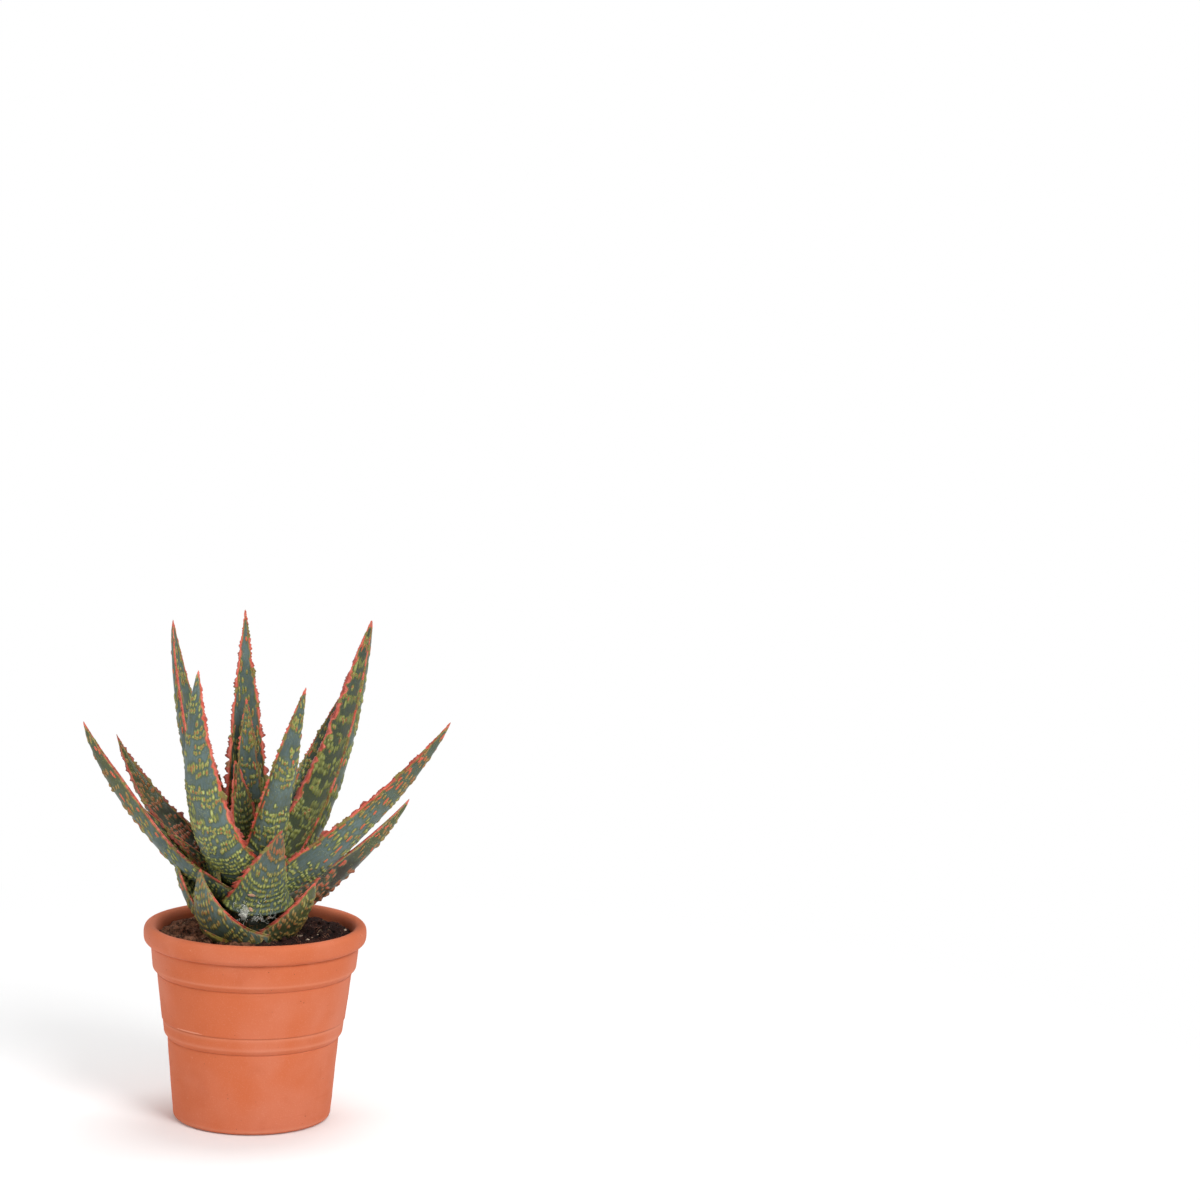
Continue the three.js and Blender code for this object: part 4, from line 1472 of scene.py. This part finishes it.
@dataclass
class DryShreds:
    """Shreds of old leaf skin, dried white, that cling to the foot of the front leaf, with three flakes.
    A flake has its place across and along the host, its two half sizes and its turn in radians."""

    host: LeafSurface
    white: Fibre = Fibre("dry_white", paint(196, 200, 188), paint(236, 236, 228))
    tan: Fibre = Fibre("dry_tan", paint(186, 140, 112), paint(214, 176, 146))
    seed: int = 77
    steps: int = 16
    tangles: tuple[Tangle, ...] = (
        Tangle(190, -11.6, 0.4, 1.0, 3.4, 2.6, 1.8), Tangle(8, -15.0, 2.6, 2.6, 1.0, 6.0, 0.7),
        Tangle(26, 0.0, -1.2, 5.0, 1.0, 7.0, 1.0), Tangle(6, 5.0, 9.0, 5.0, 3.0, 4.5, 0.8))
    flakes: tuple[tuple[float, ...], ...] = (
        (-9.4, 12.0, 1.9, 0.9, 0.3), (-8.0, 3.4, 1.3, 0.8, -0.5), (3.0, -1.0, 0.9, 0.7, 0.9))

    def on_host(self, across: Array, along: Array, lift: Array) -> Array:
        """A place over the host's back: the back's own height at a distance across and along, with lift
        added straight out. Past the foot the back goes on straight.

        Args:
            across: Millimetres to the right of the keel.
            along: Millimetres from the foot.
            lift: Millimetres over the skin.

        Returns:
            Points.
        """
        u = np.clip(along / self.host.length, 0, 0.9)
        point, forward, side, inner = self.host.spine(u.ravel())
        half, depth = self.host.half_width(u), self.host.channel(u)
        turn = np.arcsin(np.clip(across / half, -0.98, 0.98))
        flat = (half + lift) * np.sin(turn)
        deep = (depth + self.host.thickness(u) + lift) * np.cos(turn)
        past = np.minimum(along, 0)
        shape = (*u.shape, 3)
        return (point.reshape(shape) + side.reshape(shape) * flat[..., None]
                - inner.reshape(shape) * deep[..., None] + forward.reshape(shape) * past[..., None])

    def build(self) -> list[Piece]:
        """Builds the tangle, the loose strands and the flakes.

        Returns:
            The finished pieces.
        """
        source = np.random.default_rng(self.seed)
        t = np.linspace(0, 1, self.steps)[None]
        paths, widths = [], []
        for tangle in self.tangles:
            each = (tangle.count, 1)
            heading = source.normal(0, 0.9, each) + np.where(source.random(each) < 0.5, np.pi, 0)
            bend = 9 * (source.random(each) - 0.5) * t
            bend = bend + 1.2 * np.sin(9 * t + 6 * source.random(each))
            heading = heading + tangle.curl * bend
            step = tangle.length * lerp(0.5, 1.1, source.random(each)) / self.steps
            across = tangle.across + tangle.wide * source.normal(0, 1, each)
            along = tangle.along + tangle.tall * source.normal(0, 0.6, each)
            rise = 0.35 + 0.8 * source.random(each) * (1 + np.sin(6 * t + 6 * source.random(each)))
            paths.append(self.on_host(across + np.cumsum(np.cos(heading) * step, 1),
                                      along + np.cumsum(np.sin(heading) * step, 1), rise))
            widths.append(lerp(0.06, 0.15, source.random(tangle.count) ** 2))
        grid = strands(np.concatenate(paths), np.concatenate(widths))
        return [Builder("leaf").piece("dry_shreds", grid, self.white.material()), self.scales()]

    def scales(self) -> Piece:
        """Builds the flakes: thin ragged ovals (x / a)^2 + (y / b)^2 < 1, curled up at one end."""
        right, along, long, wide, turn = np.array(self.flakes).T[:, :, None]
        oval, squares, triangles = ball(7, 16)
        x, y = oval[:, 0] * long, oval[:, 1] * wide
        ragged = 1 + 0.3 * noise(4 * oval[:, 0], 4 * oval[:, 1] + 3 * right, 1.0, 15)
        lift = 0.75 + 0.22 * oval[None, :, 2] + 0.5 * (oval[None, :, 0] + 0.4) ** 2
        points = self.on_host(right + (x * np.cos(turn) - y * np.sin(turn)) * ragged,
                              along + (x * np.sin(turn) + y * np.cos(turn)) * ragged, lift)
        return Builder("leaf").piece("dry_flakes", copies(points, squares, triangles),
                                     self.tan.material())


DENSE, STREAKED, BLOTCHED, BARE = list(Pattern)[1:]
FINE, KNOBBY, SAW, PLATES, BROAD, RAGGED, CLUMPED, FLAGS, PLAIN = Margin


@dataclass
class Rosette:
    """All the leaves, from the heart outwards, and the two buds in the cup that the youngest leave open."""

    finish: LeafSkin = field(default_factory=LeafSkin)
    plans: tuple[LeafPlan, ...] = (
        LeafPlan("leaf_heart", 148, 160, 1, (12, 12, 12), (61, 20, 4.5), twist=-35, pattern=DENSE,
                 margins=(PLATES, PLATES), streaks=0.0, green=(0.9, 0.5), pale=0.6),
        LeafPlan("leaf_inner", 112, 157, 3, (8, 5, 7), (101, 24, 5.5), streaks=0.2, pale=1.0),
        LeafPlan("leaf_back_tall", 106, 154, 5, (12, 7, 4), (158, 32, 7), taper=1.02, pattern=STREAKED,
                 margins=(PLATES, PLATES), pale=0.75),
        LeafPlan("leaf_right_front", 310, 152, 3, (20, 18, 22), (127, 29, 9), margins=(KNOBBY, KNOBBY),
                 green=(0.35, 0.0)),
        LeafPlan("leaf_left_front", 230, 150, 8, (45, 15, -5), (143, 39, 10), tuck=9,
                 margins=(KNOBBY, FLAGS), streaks=0.15),
        LeafPlan("leaf_right_tall", 33, 149, 7, (49, 12, 19), (175, 37, 11.5), taper=0.74,
                 pattern=BLOTCHED, margins=(FINE, BROAD), streaks=0.7, green=(0.6, 0.3)),
        LeafPlan("leaf_left_tall", 162, 150, 9, (20, 20, 8), (161, 37, 11), taper=0.95, twist=-8,
                 pattern=STREAKED, margins=(RAGGED, SAW), streaks=0.5, pale=0.5),
        LeafPlan("leaf_right_back", 57, 149, 14, (41, 34, 31), (125, 25, 7), turn=-12, twist=15,
                 fineness=0.9),
        LeafPlan("leaf_back_mid", 98, 146, 14, (46, 38, 30), (82, 28, 8), fineness=0.85),
        LeafPlan("leaf_right_long", 359, 142.5, 12, (53, 49, 35), (150, 29, 10), twist=-38, keel=-5,
                 pattern=STREAKED, margins=(CLUMPED, FINE), streaks=0.95, dusk=(0.1, 0.5),
                 green=(0.1, 0.6)),
        LeafPlan("leaf_left_short_back", 164, 146, 12, (52, 49, 22), (116, 30, 9), taper=1.1, twist=-16,
                 spin=-18, margins=(RAGGED, RAGGED), dusk=(0.95, 0.6), green=(0.0, 1.0), pale=0.3),
        LeafPlan("leaf_left_long", 184, 140.8, 12, (51, 47, 25), (139, 31, 9.4), taper=0.78, tuck=6,
                 twist=-8, spin=30, keel=5, pattern=STREAKED, margins=(RAGGED, RAGGED), streaks=0.8,
                 dusk=(0.1, 0.5), green=(0.0, 0.9)),
        LeafPlan("leaf_front_short", 286, 138, 14, (28, 30, 28), (53, 37, 8), turn=34, pattern=DENSE,
                 margins=(SAW, SAW), streaks=0.0, dusk=(0.05, 0.6)),
        LeafPlan("leaf_back_right_low", 72, 138, 14, (54, 46, 34), (72, 28, 8), fineness=0.85),
        LeafPlan("leaf_back_left_low", 130, 137, 14, (60, 54, 46), (64, 28, 8), fineness=0.85),
        LeafPlan("leaf_right_low", 9, 132, 12, (64, 53, 42), (107, 31, 11), twist=-20, keel=-4,
                 pattern=STREAKED, margins=(RAGGED, RAGGED), streaks=0.4, dusk=(1.15, 0.4),
                 green=(0.3, 1.0)),
        LeafPlan("leaf_front_left_short", 228, 119, 14, (68, 28, 4), (51, 46, 7), turn=-30,
                 pattern=DENSE, streaks=0.0, dusk=(0.4, 0.3), green=(0.35, 0.0)),
        LeafPlan("leaf_front_right_short", 324, 118, 16, (56, 44, 28), (46, 35, 7), pattern=DENSE,
                 margins=(SAW, FINE), streaks=0.0, dusk=(0.5, 0.35), green=(1.0, 1.0)),
        LeafPlan("leaf_left_under", 187, 124.5, 17, (54, 36, 10), (53, 32, 7), twist=-24, pattern=DENSE,
                 streaks=0.2, dusk=(0.3, 0.2)),
        LeafPlan("leaf_back_under", 98, 122, 16, (66, 48, 26), (66, 28, 7), pattern=DENSE,
                 fineness=0.85),
        LeafPlan("leaf_right_under", 40, 122, 16, (68, 54, 34), (56, 24, 6), pattern=DENSE),
        LeafPlan("leaf_foot_small", 236, 114, 27, (72, 64, 56), (24, 10, 3), pattern=BARE,
                 margins=(PLAIN, PLAIN), streaks=0.0, green=(1.0, 1.0)))
    buds: tuple[LeafPlan, ...] = (
        LeafPlan("bud_front", 282, 158, 3, (16, 9, 5), (27, 15, 4), pattern=DENSE, streaks=0.0,
                 dusk=(0.35, 0.2), green=(1.0, 0.7)),
        LeafPlan("bud_back", 40, 158, 3, (14, 8, 4), (33, 14, 4), pattern=DENSE, streaks=0.0,
                 green=(1.0, 0.7)))

    def build(self) -> dict[str, LeafSurface]:
        """Builds every leaf and bud, each from a seed of its own.

        Returns:
            The leaves' surfaces by node.
        """
        material = self.finish.material()
        leaves, buds = ([LeafSurface(plan, first + 17 * k) for k, plan in enumerate(plans)]
                        for plans, first in ((self.plans, 100), (self.buds, 900)))
        for surface in leaves:
            surface.build(material)
        for surface in buds:
            surface.build(material, young=True)
        return {surface.plan.node: surface for surface in leaves}


@dataclass
class Stem:
    """The short stem that the leaves grow from, wrapped in old leaf feet: one above another every
    sheath_rise millimetres, and sheaths_round side by side."""

    finish: LeafSkin = field(default_factory=LeafSkin)
    x: float = -3.0
    rows: int = 110
    sides: int = 96
    widest: float = 15.0
    mean_radius: float = 14.0
    sheath_rise: float = 7.0
    sheaths_round: int = 3
    profile: tuple[Triple, ...] = (
        (0, 80, 0), (8, 80, 1), (15, 113, 4), (12, 140, 4), (3.5, 164, 1), (0, 164, 0))

    def build(self) -> Piece:
        """Turns the stem and wraps it in shallow sheaths that climb round it.

        Returns:
            The finished piece.
        """
        line = rounded(self.profile, 5)
        profile = resampled(line, np.linspace(0, distances(line)[-1], self.rows))
        points, squares, triangles = turned_grid(profile, self.sides)
        angle, z = np.arctan2(points[:, 1], points[:, 0]), points[:, 2]
        girth = self.mean_radius * angle
        wrap = (z / self.sheath_rise + angle / (2 * np.pi) * self.sheaths_round) % 1
        rough = 0.7 * wrap + 0.3 * noise(girth, z, 3, 9)
        off_axis = np.hypot(points[:, 0], points[:, 1]) > 1
        points[:, :2] *= (1 + off_axis * rough / self.widest)[:, None]
        points[:, 0] += self.x
        # inward 1 gives the stem the inner face's painted shade
        even = {"blush": 0, "rim": 4, "dusk": 0.7, "green": 0, "inward": 1}
        fields = {key: np.full(len(z), value, float) for key, value in even.items()}
        fields["spot"] = 0.7 + 2.2 * np.abs(noise(girth, z * 1.4, 1.6, 12))
        fields["edge"] = smoothstep(0.9, 0.98, wrap) * 0.5
        uv = np.stack([angle, z / LeafSurface.map_size], -1)
        return Builder("stem", ("stem",)).piece("stem_sheath", (points, squares, triangles),
                                                self.finish.material(), fields, uv)


@dataclass
class Studio:
    """The floor, the light and the camera that stands where the photograph's did."""

    elevation: float = 14.45
    distance: float = 1.8
    metres_per_pixel: float = 0.0006265
    anchor: Triple = (0.0, 0.0, 0.060)
    anchor_pixel: Pair = (253.7, 1018.7)
    frame_pixels: float = 1200.0
    roll: float = 1.2
    sensor: float = 36.0
    lit_height: float = 0.16
    floor_radius: float = 9.0
    lamps: tuple[tuple[str, Triple, float, float], ...] = (
        ("key", (0.9, -1.5, 1.5), 0.9, 26.0), ("fill", (-1.6, -1.0, 0.9), 1.2, 6.0),
        ("top", (0.2, 0.5, 2.2), 1.2, 18.0))

    def build(self) -> None:
        """Makes the floor, the lights, the world and the camera."""
        self.floor()
        self.lights()
        self.camera()

    def floor(self) -> None:
        """Lays a wide round floor under the object."""
        angle = np.linspace(0, 2 * np.pi, 96, endpoint=False)
        ring = np.stack([np.cos(angle), np.sin(angle), 0 * angle], -1) * self.floor_radius
        mesh = bpy.data.meshes.new("floor")
        mesh.from_pydata(ring.tolist(), [], [list(range(len(ring)))])
        mesh.materials.append(PaleFloor().material())
        link("floor", mesh)

    def lights(self) -> None:
        """Hangs three large soft lights in a white room whose walls are brighter than its ceiling."""
        room = Shader("white_room", world=True)
        rise = room.out("ShaderNodeSeparateXYZ", None, {0: room.here}, "Z")
        glow = room.node("ShaderNodeBackground", None,
                         {"Color": (1.0, 1.0, 1.0), "Strength": rise.step(0.4, 0.1) * 0.5 + 0.5})
        room.node("ShaderNodeOutputWorld", None, {"Surface": glow.outputs[0]})
        bpy.context.scene.world = room.material
        for name, place, size, power in self.lamps:
            lamp = bpy.data.lights.new(name, "AREA")
            lamp.shape, lamp.size, lamp.energy = "DISK", size, power
            look = np.array([0, 0, self.lit_height]) - np.array(place)
            link(name, lamp).matrix_world = pose(np.array(place), basis(look, UP))

    def camera(self) -> None:
        """Puts the camera on the photograph's line of sight, so that the anchor falls on its pixel."""
        rise = math.radians(self.elevation)
        anchor = np.array(self.anchor)
        place = anchor + np.array([0, -math.cos(rise), math.sin(rise)]) * self.distance
        focal = self.distance / self.metres_per_pixel
        middle = self.frame_pixels / 2
        seen = np.array([(self.anchor_pixel[0] - middle) / focal, -(self.anchor_pixel[1] - middle) / focal,
                         -1.0])
        lean = math.radians(self.roll)
        turn = basis(anchor - place, UP) @ basis(seen, np.array([math.sin(lean), math.cos(lean), 0.0])).T
        lens = bpy.data.cameras.new("camera")
        lens.sensor_width, lens.sensor_fit = self.sensor, "HORIZONTAL"
        lens.lens = focal / self.frame_pixels * self.sensor
        lens.clip_start, lens.clip_end = 0.05, 30.0
        camera = link("camera", lens)
        camera.matrix_world = pose(place, turn)
        bpy.context.scene.camera = camera
        bpy.context.scene.view_settings.view_transform = "Standard"


def basis(look: Array, up: Array) -> Array:
    """Axes of something that looks along a direction, as columns right, up and back."""
    back = -look / np.linalg.norm(look)
    right = np.cross(up, back)
    right = right / np.linalg.norm(right)
    return np.stack([right, np.cross(back, right), back], 1)


def pose(place: Array, turn: Array) -> Matrix:
    """A four by four matrix from a place and a turn."""
    matrix = np.eye(4)
    matrix[:3, :3], matrix[:3, 3] = turn, place
    return Matrix(matrix.tolist())


def main() -> None:
    """Builds the studio and every piece."""
    logging.basicConfig(level=logging.INFO, format="%(message)s")
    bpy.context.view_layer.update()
    Studio().build()
    Pot().build()
    SoilBed().build()
    Stem().build()
    leaves = Rosette().build()
    DryShreds(leaves["leaf_front_short"]).build()
    LOG.info("sizes written")


if __name__ == "__main__":
    main()
